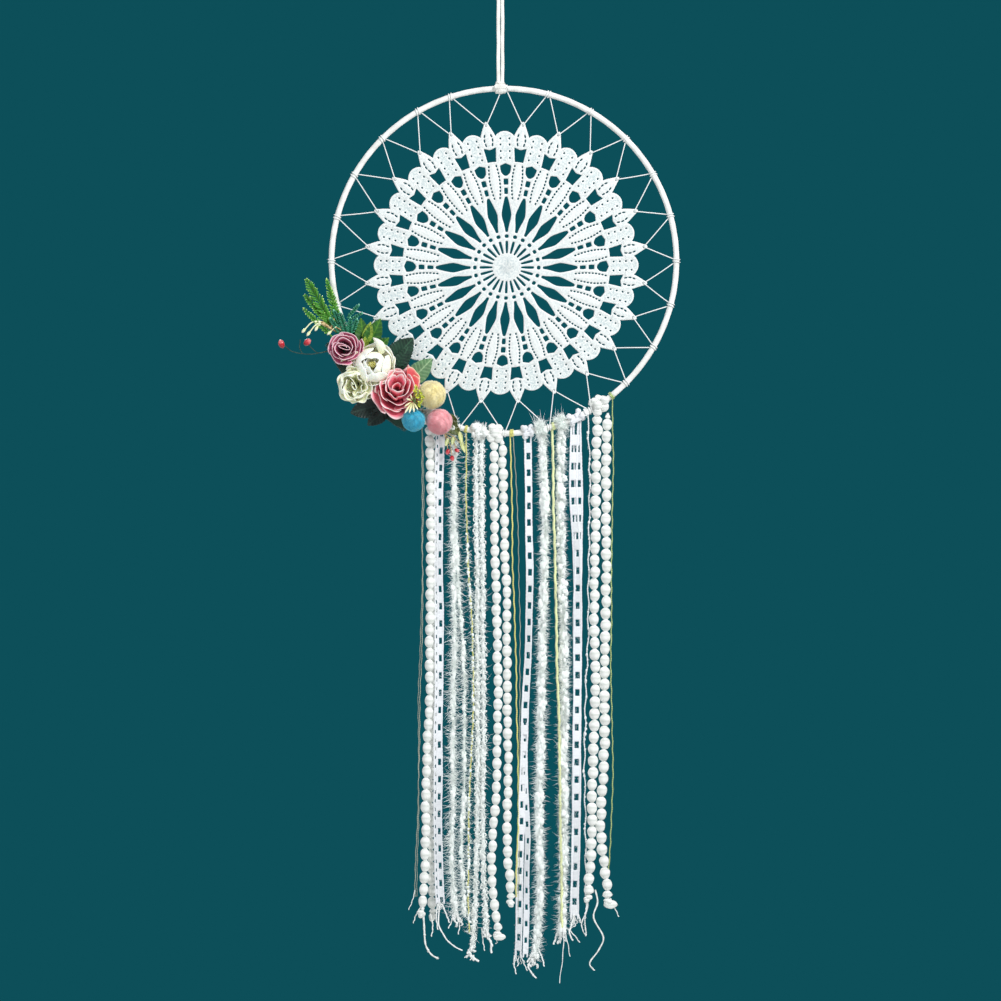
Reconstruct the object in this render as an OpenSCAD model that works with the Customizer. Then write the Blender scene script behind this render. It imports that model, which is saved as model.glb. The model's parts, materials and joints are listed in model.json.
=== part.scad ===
// Hanging dream catcher: a wrapped steel hoop with a laced-in doily, a spray of
// fabric flowers, and a fringe of folded yarns and trims. Millimetres, +Z up,
// front towards -Y. The origin is the inside top of the hanging loop.

/* [Hoop] */
// Outer diameter of the wrapped hoop
hoop_d = 300; // [296:1:304]
// Thickness of the hoop over its suede winding
hoop_t = 5; // [5:0.1:5.4]
// Diameter of the steel ring inside the winding
ring_wire_d = 3; // [2.6:0.1:3.2]

/* [Hanger] */
// Drop from the inside top of the loop to the top of the hoop
hang_drop = 95; // [85:1:120]
// Width of the flat suede lace
lace_w = 3; // [2.6:0.1:3.2]
// Thickness of the flat suede lace
lace_t = 1.4; // [1.2:0.1:1.8]
// Inside radius of the hanging loop
eye_r = 3.2; // [3:0.1:4]
// How far the hoop's centre sits to the right of the hanger
hoop_shift = 3.1; // [0:0.1:4]

/* [Doily] */
// Radius of the doily at the tips of its points
doily_r = 124.6; // [123:0.1:125.5]
// Thickness of the lace
doily_t = 1.2; // [1:0.1:1.4]
// How far the doily hangs below the hoop's centre
doily_drop = 2.4; // [0:0.1:3]
// Thickness of the lacing thread
thread_d = 1; // [0.8:0.1:1]

/* [Fringe] */
// Lowest end of the left trims, below the hoop's centre
left_end = 556; // [400:1:600]
// Lowest end of the middle trims, below the hoop's centre
middle_end = 574; // [400:1:620]
// Lowest end of the fuzzy yarns, below the hoop's centre
yarn_end = 596; // [400:1:640]
// Distance between the balls of a ball trim
ball_pitch = 10.6; // [10:0.1:12]
// Diameter of one ball of a ball trim
ball_d = 7.6; // [7:0.1:7.8]

/* [Hidden] */
$fn = 48;

// Hoop geometry: tube radius, centre-line radius and the hoop's centre
tube_r = hoop_t / 2;
hoop_r = hoop_d / 2 - tube_r;
hoop_x = hoop_shift;
hoop_z = -hang_drop - hoop_d / 2;
wire_gap = 0.05;
top_z = hoop_z + sqrt(hoop_r * hoop_r - hoop_x * hoop_x);
top_lean = asin(hoop_x / hoop_r);

// Running gaps: between bodies that turn, and between pieces that only touch
move_gap = 0.4;
touch_gap = 0.08;

// Strap: the two strands lie side by side, then open into the eye
strand_x = lace_w / 2 + 0.3;
eye_x = eye_r + lace_w / 2;
eye_foot = 22;
hitch_r_in = tube_r + 0.35;
hitch_r_out = hitch_r_in + lace_t + 0.3;
hitch_w = 9;
hitch_top = top_z + hitch_r_out + 1.2;

// Lace: 24 repeats, points between the lacing's wrap places
repeats = 24;
step_a = 360 / repeats;
wrap_w = 5.4;
end_wrap_w = 2.6;
wrap_t = 0.8;
wrap_r_in = tube_r + touch_gap;
eyelet_r = 1;
eyelet_at = doily_r - 3.2;
thread_r = thread_d / 2;
thread_off = doily_t / 2 + 0.8;
thread_lat = 2.1;

// Knots of the yarns on the hoop
knot_wall = 1.6;
knot_r_in = tube_r + touch_gap + 0.12;

// Flower layers, measured towards the front: the felt, two layers of leaves,
// then the blooms
pad_t = 0.9;
pad_front = -wrap_r_in - wrap_t - touch_gap - pad_t;
leaf_t = 0.8;
leaf_layer = leaf_t + 0.05;
bloom_back = pad_front - 2 * leaf_layer - 0.2;

// Blooms and pom-poms: [x from hoop centre, depth, z from hoop centre, radius]
mauve_at = [-136, bloom_back - 4, -76, 14.5];
cream_up_at = [-109.5, bloom_back - 4, -91.5, 18];
cream_low_at = [-127.5, bloom_back - 3, -105, 16];
pink_at = [-92.5, bloom_back - 6, -110, 21];
cream_pom_at = [-61.6, bloom_back - 13.5, -115.1, 12.5];
pink_pom_at = [-55, -knot_r_in - knot_wall - 11.7, -138, 11.4];
blue_pom_at = [-77, bloom_back - 11, -136.4, 10.2];

ball_r = ball_d / 2;

// The tube's centre line under a place x from the hoop's centre, and its slope
function arc_z(x) = -sqrt(hoop_r * hoop_r - x * x);
function slope(x) = asin(x / hoop_r);
function knot_low(x, w, wall) =
    arc_z(x) - (knot_r_in + wall) * cos(slope(x)) - w / 2 * abs(sin(slope(x)));
function pivot_z(x, w, wall, yoke_r) = knot_low(x, w, wall) - move_gap - yoke_r;

// A cylinder between two points
module rod(from, to, r, fn = 16) {
    d = to - from;
    len = norm(d);
    translate(from)
        rotate([0, acos(d[2] / len), atan2(d[1], d[0])])
            cylinder(h = len, r = r, $fn = fn);
}

// Places its children at the hoop's centre, or on the tube at an angle, with X
// along the tube and Z pointing outwards
module at_hoop() {
    translate([hoop_x, 0, hoop_z]) children();
}

module on_tube(a) {
    at_hoop()
        rotate([0, 90 - a, 0])
            translate([0, 0, hoop_r])
                children();
}

// A short sleeve round the tube, or round the X axis
module sleeve(w, r_in, r_out) {
    rotate([0, 90, 0])
        difference() {
            translate([0, 0, -w / 2]) cylinder(h = w, r = r_out);
            translate([0, 0, -w / 2 - 1]) cylinder(h = w + 2, r = r_in);
        }
}

// ---- Hanger ----

// One strand of the strap, from the hitch up to the start of the loop's arch
module strap_side() {
    foot = hitch_top + move_gap;
    translate([strand_x - lace_w / 2, -lace_t / 2, foot])
        cube([lace_w, lace_t, -eye_foot - foot]);
    rotate([90, 0, 0])
        linear_extrude(lace_t, center = true)
            polygon([
                [strand_x - lace_w / 2, -eye_foot],
                [strand_x + lace_w / 2, -eye_foot],
                [eye_x + lace_w / 2, -eye_r],
                [eye_x - lace_w / 2, -eye_r],
            ]);
}

module hanging_strap() {
    color("white") {
        strap_side();
        mirror([1, 0, 0]) strap_side();
        translate([0, 0, -eye_r])
            rotate([90, 0, 0])
                rotate_extrude(angle = 180)
                    translate([eye_x - lace_w / 2, -lace_t / 2])
                        square([lace_w, lace_t]);
    }
}

// The hitch: two turns round the tube, a bridge over them in front and the
// throat that the strands come out of
module hanger_hitch() {
    throat_foot = hitch_r_in + 0.3;
    bridge_t = lace_t + 0.4;
    bridge_h = 4.6;
    color("white")
        translate([0, 0, top_z])
            rotate([0, -top_lean, 0]) {
                for (side = [-1, 1])
                    translate([side * (hitch_w - lace_w) / 2, 0, 0])
                        sleeve(lace_w, hitch_r_in, hitch_r_out);
                sleeve(hitch_w - lace_w, hitch_r_in, hitch_r_out - 0.5);
                translate([0.2 - hitch_w / 2, -hitch_r_out - 0.8, -bridge_h / 2])
                    cube([hitch_w - 0.4, bridge_t, bridge_h]);
                translate([-lace_w - 0.4, -2.4, throat_foot])
                    cube([2 * lace_w + 0.8, 4.8, hitch_top - top_z - throat_foot]);
            }
}

// ---- Hoop ----

module hoop_ring() {
    color("silver")
        at_hoop()
            rotate([90, 0, 0])
                rotate_extrude($fn = 96)
                    translate([hoop_r, 0])
                        circle(d = ring_wire_d);
}

// The winding is one lace round the ring; its two ends meet with a small gap
// under the hitch
module hoop_wrap() {
    gap_a = 0.1;
    color("ivory")
        at_hoop()
            rotate([90, 0, 0])
                rotate([0, 0, 90 + gap_a / 2])
                    rotate_extrude(angle = 360 - gap_a, $fn = 96)
                        translate([hoop_r, 0])
                            difference() {
                                circle(r = tube_r);
                                circle(r = ring_wire_d / 2 + wire_gap);
                            }
}

// ---- Doily ----

// A straight-sided hole or patch across a radius: half-widths at two radii
module across(r0, w0, r1, w1) {
    polygon([[-w0, r0], [w0, r0], [w1, r1], [-w1, r1]]);
}

// One repeat of the lace's outline, centred on a block
module lace_solid() {
    across(80, 10.5, 92, 11.2);
    across(90, 7, 113, 8.4);
    translate([0, 105]) circle(r = 10.4, $fn = 24);
    rotate(step_a / 2) {
        across(88, 4, 106, 6.2);
        polygon([
            [-6.2, 105], [6.2, 105], [5.4, 112], [3, 119],
            [2.2, doily_r - 1.2], [0, doily_r], [-2.2, doily_r - 1.2],
            [-3, 119], [-5.4, 112],
        ]);
    }
}

// One repeat of the open work
module lace_holes() {
    across(13, 0.6, 23, 0.9);
    translate([0, 28]) circle(r = 1.2, $fn = 12);
    polygon([
        [-0.9, 32], [0.9, 32], [3.1, 40], [3.6, 46], [3.1, 53],
        [2, 61], [-2, 61], [-3.1, 53], [-3.6, 46], [-3.1, 40],
    ]);
    across(63.6, 1.4, 68, 1.4);
    across(70.6, 1.9, 75.4, 1.9);
    polygon([[-2.4, 78], [2.4, 78], [4.8, 85], [4.4, 88], [-4.4, 88], [-4.8, 85]]);
    rotate(step_a / 2) {
        across(91, 3.6, 101, 5);
        translate([0, eyelet_at]) circle(r = eyelet_r, $fn = 24);
    }
}

module lace_doily() {
    color("white")
        at_hoop()
            translate([0, 0, -doily_drop])
                rotate([90, 0, 0])
                    linear_extrude(doily_t, center = true)
                        difference() {
                            union() {
                                circle(r = 89.5, $fn = 96);
                                for (k = [0:repeats - 1])
                                    rotate(k * step_a) lace_solid();
                            }
                            for (k = [0:repeats - 1])
                                rotate(k * step_a) lace_holes();
                        }
}

// Places on the lacing, in the hoop's plane: a wrap on the tube at angle a, a
// little to one side, and the eyelet of the point at angle b
function wrap_point(a, side) =
    [hoop_r * cos(a) - side * thread_lat * sin(a), 0,
     hoop_r * sin(a) + side * thread_lat * cos(a)];
function inner_wrap_point(a, side) =
    wrap_point(a, side) - (wrap_r_in + wrap_t / 2) * [cos(a), 0, sin(a)];
function eyelet_point(b, y) =
    [eyelet_at * cos(b), y, eyelet_at * sin(b) - doily_drop];

// The two threads between the wrap at angle a and its neighbouring points
module threads_at(a, r) {
    at_hoop() {
        rod(inner_wrap_point(a, 1), eyelet_point(a + step_a / 2, -thread_off), r);
        rod(inner_wrap_point(a, -1), eyelet_point(a - step_a / 2, thread_off), r);
    }
}

// One end of the thread, wound on the tube beside the hitch, and its run to the
// eyelet of the nearest point
module thread_end(side) {
    a = 90 + asin((hoop_x - side * (hitch_w / 2 + 0.4 + end_wrap_w / 2)) / hoop_r);
    y = side * thread_off;
    on_tube(a) sleeve(end_wrap_w, wrap_r_in, wrap_r_in + wrap_t);
    at_hoop()
        rod((hoop_r - wrap_r_in - wrap_t / 2) * [cos(a), 0, sin(a)],
            eyelet_point(90 - side * step_a / 2, y), thread_r);
}

// One thread from one side of the hitch all the way round to the other: a few
// turns on the tube, down through the eyelet of a point from front to back, and
// on to the next place on the tube
module lacing_thread() {
    color("white") {
        for (side = [-1, 1]) thread_end(side);
        for (k = [1:repeats - 1]) {
            on_tube(90 + k * step_a) sleeve(wrap_w, wrap_r_in, wrap_r_in + wrap_t);
            threads_at(90 + k * step_a, thread_r);
        }
        at_hoop()
            for (k = [0:repeats - 1]) {
                b = 90 + (k + 0.5) * step_a;
                rod(eyelet_point(b, -thread_off - thread_r * 0.6),
                    eyelet_point(b, thread_off + thread_r * 0.6), thread_r * 1.1);
            }
    }
}

// ---- Flowers ----

// A place in the flower spray: x and z from the hoop's centre, y from the frame
module in_spray(x, y, z) {
    translate([hoop_x + x, y, hoop_z + z]) children();
}

// Everything in front of the leaves
module bloom_side() {
    in_spray(-100, bloom_back - 50, -100) cube([200, 100, 200], center = true);
}

// The room that a bloom or pom-pom takes up, with a gap round it
module room(at, gap = 0.3) {
    in_spray(at[0], at[1], at[2]) sphere(r = at[3] + gap);
}

// A round bloom: a ring of petals round a core, open towards the front
module bloom(at, petals) {
    r = at[3];
    intersection() {
        bloom_side();
        in_spray(at[0], at[1], at[2])
            union() {
                sphere(r = r * 0.72);
                for (k = [0:petals - 1])
                    rotate([0, k * 360 / petals, 0])
                        translate([0, r * 0.1, r * 0.52])
                            sphere(r = r * 0.47);
            }
    }
}

// A crescent of felt along the hoop, behind the leaves and in front of the tube
module felt_backing() {
    start_a = 205;
    span_a = 35;
    color("darkgreen")
        at_hoop()
            translate([0, pad_front + pad_t, 0])
                rotate([90, 0, 0])
                    rotate(start_a)
                        rotate_extrude(angle = span_a, $fn = 96)
                            translate([hoop_r - 14, 0])
                                square([35, pad_t]);
}

module mauve_rose() {
    color("rosybrown")
        difference() {
            bloom(mauve_at, 6);
            room(cream_up_at);
            room(cream_low_at);
        }
}

module cream_flower_upper() {
    color("ivory")
        difference() {
            bloom(cream_up_at, 5);
            room(pink_at);
        }
}

module cream_flower_lower() {
    color("ivory")
        difference() {
            bloom(cream_low_at, 5);
            room(cream_up_at);
            room(pink_at);
        }
}

module pink_rose() {
    color("hotpink")
        difference() {
            bloom(pink_at, 7);
            room(cream_pom_at);
            room(blue_pom_at);
        }
}

module pompom(at, name) {
    color(name) in_spray(at[0], at[1], at[2]) sphere(r = at[3]);
}

module cream_pompom() {
    pompom(cream_pom_at, "khaki");
}

module pink_pompom() {
    pompom(pink_pom_at, "lightcoral");
}

module blue_pompom() {
    pompom(blue_pom_at, "deepskyblue");
}

// Small buds on one stem, in the hollow between the rose and the pom-poms
module bud_sprig() {
    foot = [-72.4, pad_front - 1, -125.8];
    fork = [-73.8, bloom_back - 17.6, -124.2];
    buds = [[-77.3, -26.4, -119], [-72.6, -25.6, -128], [-80, -29, -123.4], [-74.2, -29.6, -121]];
    color("yellowgreen")
        at_hoop() {
            rod(foot, fork, 0.8, 24);
            translate(fork) sphere(r = 1.4, $fn = 32);
            for (b = buds) {
                rod(fork, b, 0.5);
                translate(b) sphere(r = 1.8, $fn = 24);
            }
        }
}

// A flat leaf that lies on the felt: length l, width w, its root at x and z and
// its tip towards angle a in the hoop's plane
module leaf(x, z, a, l, w) {
    in_spray(x, pad_front, z)
        rotate([90, -a, 0])
            linear_extrude(leaf_t)
                intersection() {
                    leaf_side(l, w);
                    mirror([0, 1]) leaf_side(l, w);
                }
}

// The circle whose arc is one edge of a leaf
module leaf_side(l, w) {
    r = (l * l + w * w) / (4 * w);
    translate([l / 2, w / 2 - r]) circle(r = r, $fn = 64);
}

module olive_leaf() {
    color("olivedrab") leaf(-84, -98, 35, 19, 14);
}

module dark_leaf_upper() {
    color("darkgreen") leaf(-98, -88, 48, 25, 17);
}

module dark_leaf_lower() {
    color("darkgreen") leaf(-107, -125, 196, 24, 15);
}

module small_leaf() {
    color("olivedrab") leaf(-49.5, -141, -38, 15, 9);
}

module veined_leaf() {
    color("forestgreen")
        union() {
            leaf(-124, -76, 62, 28, 15);
            leaf(-124, -76, 108, 26, 12);
        }
}

// A flat frond in one of the leaf layers: a stem with slanting leaflets on both
// sides, getting shorter towards the tip
module frond(x, z, a, l, w, pairs, layer = 0) {
    in_spray(x, pad_front - layer * leaf_layer, z)
        rotate([90, -a, 0])
            linear_extrude(leaf_t) {
                translate([0, -0.6]) square([l, 1.2]);
                for (k = [0:pairs - 1], side = [-1, 1]) {
                    at = l * (0.18 + 0.78 * k / pairs);
                    reach = w * (1 - 0.6 * k / pairs);
                    translate([at, 0])
                        rotate(side * 48)
                            translate([0, -0.9])
                                square([reach, 1.8]);
                }
            }
}

module fern_sprigs() {
    color("seagreen")
        union() {
            frond(-143, -62, 122, 52, 9, 8);
            frond(-141, -60, 107, 44, 8, 7);
            frond(-146, -66, 133, 34, 7, 5);
        }
}

module juniper_sprigs() {
    color("darkgreen")
        union() {
            frond(-133, -66, 98, 26, 7, 4, 1);
            frond(-131.5, -66, 78, 22, 6, 4, 1);
        }
}

module twig() {
    y = pad_front - leaf_layer - 0.85;
    color("tan")
        at_hoop()
            rod([-145.6, y, -62.8], [-153, y, -55.4], 0.8);
}

// Berries on bare stems: a small node at the foot and a stem to each berry
module berries(foot, spots, r) {
    at_hoop() {
        translate(foot) sphere(r = 1, $fn = 32);
        for (s = spots) {
            rod(foot, s, 0.5);
            translate(s) sphere(r = r, $fn = 32);
        }
    }
}

module berry_spray_left() {
    y = pad_front - leaf_layer - 0.6;
    color("crimson")
        berries([-151, y, -74.5], [[-190, y, -71], [-168, y, -70]], 3.2);
}

module berry_spray_lower() {
    y = pad_front - leaf_layer - 2.4;
    color("crimson")
        berries([-51, y, -149], [[-48, y, -163], [-44.5, y, -168.5], [-40.5, y, -162]], 2.2);
}

// ---- Fringe ----

// The knot of one folded yarn: turns round the tube, grooved where a lacing
// thread runs past
module knot(x, w, wall, name) {
    a = 270 + slope(x);
    near = round((a - 90) / step_a) * step_a + 90;
    color(name)
        difference() {
            on_tube(a) sleeve(w, knot_r_in, knot_r_in + wall);
            threads_at(near, thread_r + 0.25);
        }
}

// The folded top of a yarn, a bar that turns under its knot
module yoke(x0, x1, z, r) {
    at_hoop()
        translate([x0, 0, z])
            rotate([0, 90, 0])
                cylinder(h = x1 - x0, r = r, $fn = 24);
}

// A plain yarn or thread leg that hangs from z0 to z1 and may drift sideways
module yarn_leg(x, y, z0, z1, r, drift = 0) {
    at_hoop()
        rod([x, y, z0], [x + drift, y, -z1], r, 20);
}

// A ball trim leg: balls a pitch apart on a cord
module ball_leg(x, y, z0, z1) {
    first_z = z0 - 8;
    count = floor((first_z + z1) / ball_pitch);
    at_hoop() {
        rod([x, 0, z0], [x, y, first_z], 1.1);
        rod([x, y, first_z], [x, y, first_z - ball_pitch * (count + 0.3)], 1.2);
        for (k = [0:count])
            translate([x, y, first_z - ball_pitch * k])
                sphere(r = ball_r, $fn = 24);
    }
}

// A ladder ribbon leg: two edges and a rung every pitch
module ladder_leg(x, y, z0, z1, w, hole_w, hole_h, pitch, drift = 0) {
    len = z1 + z0;
    lean = atan(drift / len);
    at_hoop()
        translate([x, y, z0])
            rotate([90, -lean, 0])
                linear_extrude(1.2, center = true)
                    difference() {
                        translate([-w / 2, -len]) square([w, len]);
                        for (at = [pitch:pitch:len - pitch / 2])
                            translate([-hole_w / 2, -at]) square([hole_w, hole_h]);
                    }
}

// Each yarn's place from the hoop's centre, the width of its knot, its wall and
// the radius of its folded top
thread_yoke = 0.7;
ribbon_yoke = 0.9;
yarn_yoke = 1.6;
thread_wall = 0.9;
thread_leg_r = 0.5;
yarn_leg_r = 2.8;
ladder_w = 6.4;

module gold_thread_left_knot() {
    knot(-70.2, 1.8, thread_wall, "darkkhaki");
}

module gold_thread_left() {
    z = pivot_z(-70.2, 1.8, thread_wall, thread_yoke);
    color("darkkhaki") {
        yoke(-71.1, -69.3, z, thread_yoke);
        yarn_leg(-70.2, 0, z, left_end - 12, thread_leg_r);
    }
}

module ball_trim_left_knot() {
    knot(-63.6, 7, knot_wall, "white");
}

module ball_trim_left() {
    z = pivot_z(-63.6, 7, knot_wall, yarn_yoke);
    color("white") {
        yoke(-66, -61, z, yarn_yoke);
        ball_leg(-63.6, 0, z, left_end);
        ball_leg(-62.4, 9, z, left_end + 4);
    }
}

module ladder_ribbon_left_knot() {
    knot(-54, 6, knot_wall, "white");
}

module ladder_ribbon_left() {
    z = pivot_z(-54, 6, knot_wall, ribbon_yoke);
    color("white") {
        yoke(-57.2, -50.8, z, ribbon_yoke);
        ladder_leg(-54, 0, z, left_end - 6, ladder_w, 1.8, 4.5, 16);
    }
}

module slub_yarn_knot() {
    knot(-44.8, 6, knot_wall, "honeydew");
}

module slub_yarn() {
    z = pivot_z(-44.8, 6, knot_wall, yarn_yoke);
    color("honeydew") {
        yoke(-47, -40, z, yarn_yoke);
        yarn_leg(-42.6, 0, z, left_end + 4, yarn_leg_r);
    }
}

module gold_thread_mid_knot() {
    knot(-32.5, 1.8, thread_wall, "darkkhaki");
}

module gold_thread_mid() {
    z = pivot_z(-32.5, 1.8, thread_wall, thread_yoke);
    color("darkkhaki") {
        yoke(-33.4, -31.6, z, thread_yoke);
        yarn_leg(-32.5, 0, z, middle_end, thread_leg_r);
    }
}

module boucle_yarn_knot() {
    knot(-21, 9, knot_wall, "white");
}

module boucle_yarn() {
    z = pivot_z(-21, 9, knot_wall, yarn_yoke);
    color("white") {
        yoke(-26, -16, z, yarn_yoke);
        yarn_leg(-24, 0, z, yarn_end - 8, yarn_leg_r - 0.3);
        yarn_leg(-18, 0, z, yarn_end - 22, yarn_leg_r - 0.3);
    }
}

module ball_trim_mid_knot() {
    knot(-7.6, 8, knot_wall, "white");
}

module ball_trim_mid() {
    z = pivot_z(-7.6, 8, knot_wall, yarn_yoke);
    color("white") {
        yoke(-11, 2, z, yarn_yoke);
        ball_leg(-8.1, -1.6, z, middle_end);
        ball_leg(-0.4, 1.8, z, middle_end - 27);
    }
}

module gold_thread_pair_knot() {
    knot(6.6, 4, thread_wall, "darkkhaki");
}

module gold_thread_pair() {
    z = pivot_z(6.6, 4, thread_wall, thread_yoke);
    color("darkkhaki") {
        yoke(4.6, 8.6, z, thread_yoke);
        yarn_leg(5.3, 0, z, middle_end - 30, thread_leg_r);
        yarn_leg(7.9, 0, z, middle_end - 6, thread_leg_r);
    }
}

module ladder_yarn_knot() {
    knot(20.5, 7, knot_wall, "white");
}

module ladder_yarn() {
    z = pivot_z(20.5, 7, knot_wall, ribbon_yoke);
    color("white") {
        yoke(17.2, 23.6, z, ribbon_yoke);
        ladder_leg(20.4, 0, z, yarn_end, 5.8, 1.6, 3, 15, -7.4);
    }
}

module eyelash_yarn_inner_knot() {
    knot(31, 7, knot_wall, "mintcream");
}

module eyelash_yarn_inner() {
    z = pivot_z(31, 7, knot_wall, yarn_yoke);
    color("mintcream") {
        yoke(28, 36, z, yarn_yoke);
        yarn_leg(33, 0, z, yarn_end, yarn_leg_r);
    }
}

module lime_thread_knot() {
    knot(42.4, 1.8, thread_wall, "yellowgreen");
}

module lime_thread() {
    z = pivot_z(42.4, 1.8, thread_wall, thread_yoke);
    color("yellowgreen") {
        yoke(41.5, 43.3, z, thread_yoke);
        yarn_leg(42.4, 0, z, yarn_end + 8, thread_leg_r);
    }
}

module eyelash_yarn_outer_knot() {
    knot(49, 7, knot_wall, "mintcream");
}

module eyelash_yarn_outer() {
    z = pivot_z(49, 7, knot_wall, yarn_yoke);
    color("mintcream") {
        yoke(45.8, 52.2, z, yarn_yoke);
        yarn_leg(49, 0, z, yarn_end - 4, yarn_leg_r);
    }
}

module ladder_ribbon_right_knot() {
    knot(61.2, 9, knot_wall, "white");
}

module ladder_ribbon_right() {
    z = pivot_z(61.2, 9, knot_wall, ribbon_yoke);
    color("white") {
        yoke(54.8, 68, z, ribbon_yoke);
        ladder_leg(58, 0, z, yarn_end - 14, ladder_w, 3.4, 5, 15);
        ladder_leg(64.8, 0, z, yarn_end - 24, ladder_w, 3.4, 5, 15);
    }
}

module thin_boucle_knot() {
    knot(70.2, 1.8, thread_wall, "whitesmoke");
}

module thin_boucle() {
    z = pivot_z(70.2, 1.8, thread_wall, thread_yoke);
    color("whitesmoke") {
        yoke(69.3, 71.1, z, thread_yoke);
        yarn_leg(70.2, 0, z, middle_end + 3, thread_leg_r + 0.3);
    }
}

module ball_trim_right_knot() {
    knot(82, 10, knot_wall + 0.6, "white");
}

module ball_trim_right() {
    z = pivot_z(82, 10, knot_wall + 0.6, yarn_yoke);
    color("white") {
        yoke(77.4, 88, z, yarn_yoke);
        ball_leg(77.8, 0, z, left_end - 2);
        ball_leg(86.6, 0, z, left_end - 10);
    }
}

module green_thread_knot() {
    knot(92, 1.8, thread_wall, "olivedrab");
}

module green_thread() {
    z = pivot_z(92, 1.8, thread_wall, thread_yoke);
    color("olivedrab") {
        yoke(91.1, 92.9, z, thread_yoke);
        yarn_leg(92, 0, z, left_end - 30, thread_leg_r);
    }
}

// ---- Drawing ----

hanging_strap();
hanger_hitch();
hoop_ring();
hoop_wrap();
lace_doily();
lacing_thread();
felt_backing();
mauve_rose();
cream_flower_upper();
cream_flower_lower();
pink_rose();
cream_pompom();
pink_pompom();
blue_pompom();
bud_sprig();
olive_leaf();
dark_leaf_upper();
dark_leaf_lower();
small_leaf();
veined_leaf();
fern_sprigs();
juniper_sprigs();
twig();
berry_spray_left();
berry_spray_lower();
gold_thread_left_knot();
gold_thread_left();
ball_trim_left_knot();
ball_trim_left();
ladder_ribbon_left_knot();
ladder_ribbon_left();
slub_yarn_knot();
slub_yarn();
gold_thread_mid_knot();
gold_thread_mid();
boucle_yarn_knot();
boucle_yarn();
ball_trim_mid_knot();
ball_trim_mid();
gold_thread_pair_knot();
gold_thread_pair();
ladder_yarn_knot();
ladder_yarn();
eyelash_yarn_inner_knot();
eyelash_yarn_inner();
lime_thread_knot();
lime_thread();
eyelash_yarn_outer_knot();
eyelash_yarn_outer();
ladder_ribbon_right_knot();
ladder_ribbon_right();
thin_boucle_knot();
thin_boucle();
ball_trim_right_knot();
ball_trim_right();
green_thread_knot();
green_thread();
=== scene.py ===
import bpy
import bmesh
import json
import math
import numpy as np
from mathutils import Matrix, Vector
from mathutils.geometry import delaunay_2d_cdt


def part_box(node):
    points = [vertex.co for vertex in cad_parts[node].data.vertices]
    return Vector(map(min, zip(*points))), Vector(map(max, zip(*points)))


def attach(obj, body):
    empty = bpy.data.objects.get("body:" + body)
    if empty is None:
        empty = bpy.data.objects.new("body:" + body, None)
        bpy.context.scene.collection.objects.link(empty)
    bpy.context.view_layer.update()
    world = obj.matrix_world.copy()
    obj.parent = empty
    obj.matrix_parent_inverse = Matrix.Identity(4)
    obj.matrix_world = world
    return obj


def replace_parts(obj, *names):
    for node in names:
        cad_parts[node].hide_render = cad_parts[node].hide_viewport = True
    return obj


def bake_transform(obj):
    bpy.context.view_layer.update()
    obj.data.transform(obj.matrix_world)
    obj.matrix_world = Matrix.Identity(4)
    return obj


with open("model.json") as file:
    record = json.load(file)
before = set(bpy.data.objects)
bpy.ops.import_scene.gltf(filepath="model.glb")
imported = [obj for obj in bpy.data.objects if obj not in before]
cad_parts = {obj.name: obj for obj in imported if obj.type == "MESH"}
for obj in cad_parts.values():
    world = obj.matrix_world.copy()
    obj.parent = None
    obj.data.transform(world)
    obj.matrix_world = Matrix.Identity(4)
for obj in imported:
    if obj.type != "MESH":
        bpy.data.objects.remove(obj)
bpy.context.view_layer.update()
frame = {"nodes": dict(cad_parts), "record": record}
MM = 0.001
TAU = 2 * math.pi


def box(node):
    lo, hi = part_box(node)
    return np.array(lo) / MM, np.array(hi) / MM


# The hoop's centre, its tube's radius and the tube's centre line, in millimetres
lo, hi = box("hoop_wrap")
HC = (lo + hi) / 2
TUBE = (hi - lo)[1] / 2
HOOP = (hi - lo)[0] / 2 - TUBE
JOINTS = {j["child"]: j for j in frame["record"]["behaviour"]["joints"]}


def pivot(body):
    return np.array(JOINTS[body]["pos_m"]) / MM


# ---- Camera and light ----

def camera():
    data = bpy.data.cameras.new("camera")
    data.sensor_width = 36
    distance, width = 3.2, 0.8563
    data.lens = 36 * distance / width
    data.clip_end = 30
    cam = bpy.data.objects.new("camera", data)
    bpy.context.collection.objects.link(cam)
    cam.location = (0.0001, -distance, -0.4499)
    cam.rotation_euler = (math.pi / 2, 0, 0)
    bpy.context.scene.camera = cam


def lamp(name, place, aim, size, power, tint=(1, 1, 1)):
    data = bpy.data.lights.new(name, "AREA")
    data.shape, data.size, data.energy, data.color = "DISK", size, power, tint
    ob = bpy.data.objects.new(name, data)
    bpy.context.collection.objects.link(ob)
    ob.location = place
    ob.rotation_euler = (Vector(aim) - Vector(place)).to_track_quat("-Z", "Y").to_euler()


bpy.context.scene.view_settings.view_transform = "Standard"
camera()
lamp("key", (1.2, -1.6, 1.0), (0, 0, -0.4), 0.8, 54)
lamp("fill", (-1.7, -1.7, -0.2), (0, 0, -0.5), 1.6, 10, (0.93, 0.98, 1))
lamp("rim", (-0.6, 1.6, 0.7), (0, 0, -0.4), 1.2, 18)

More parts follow.
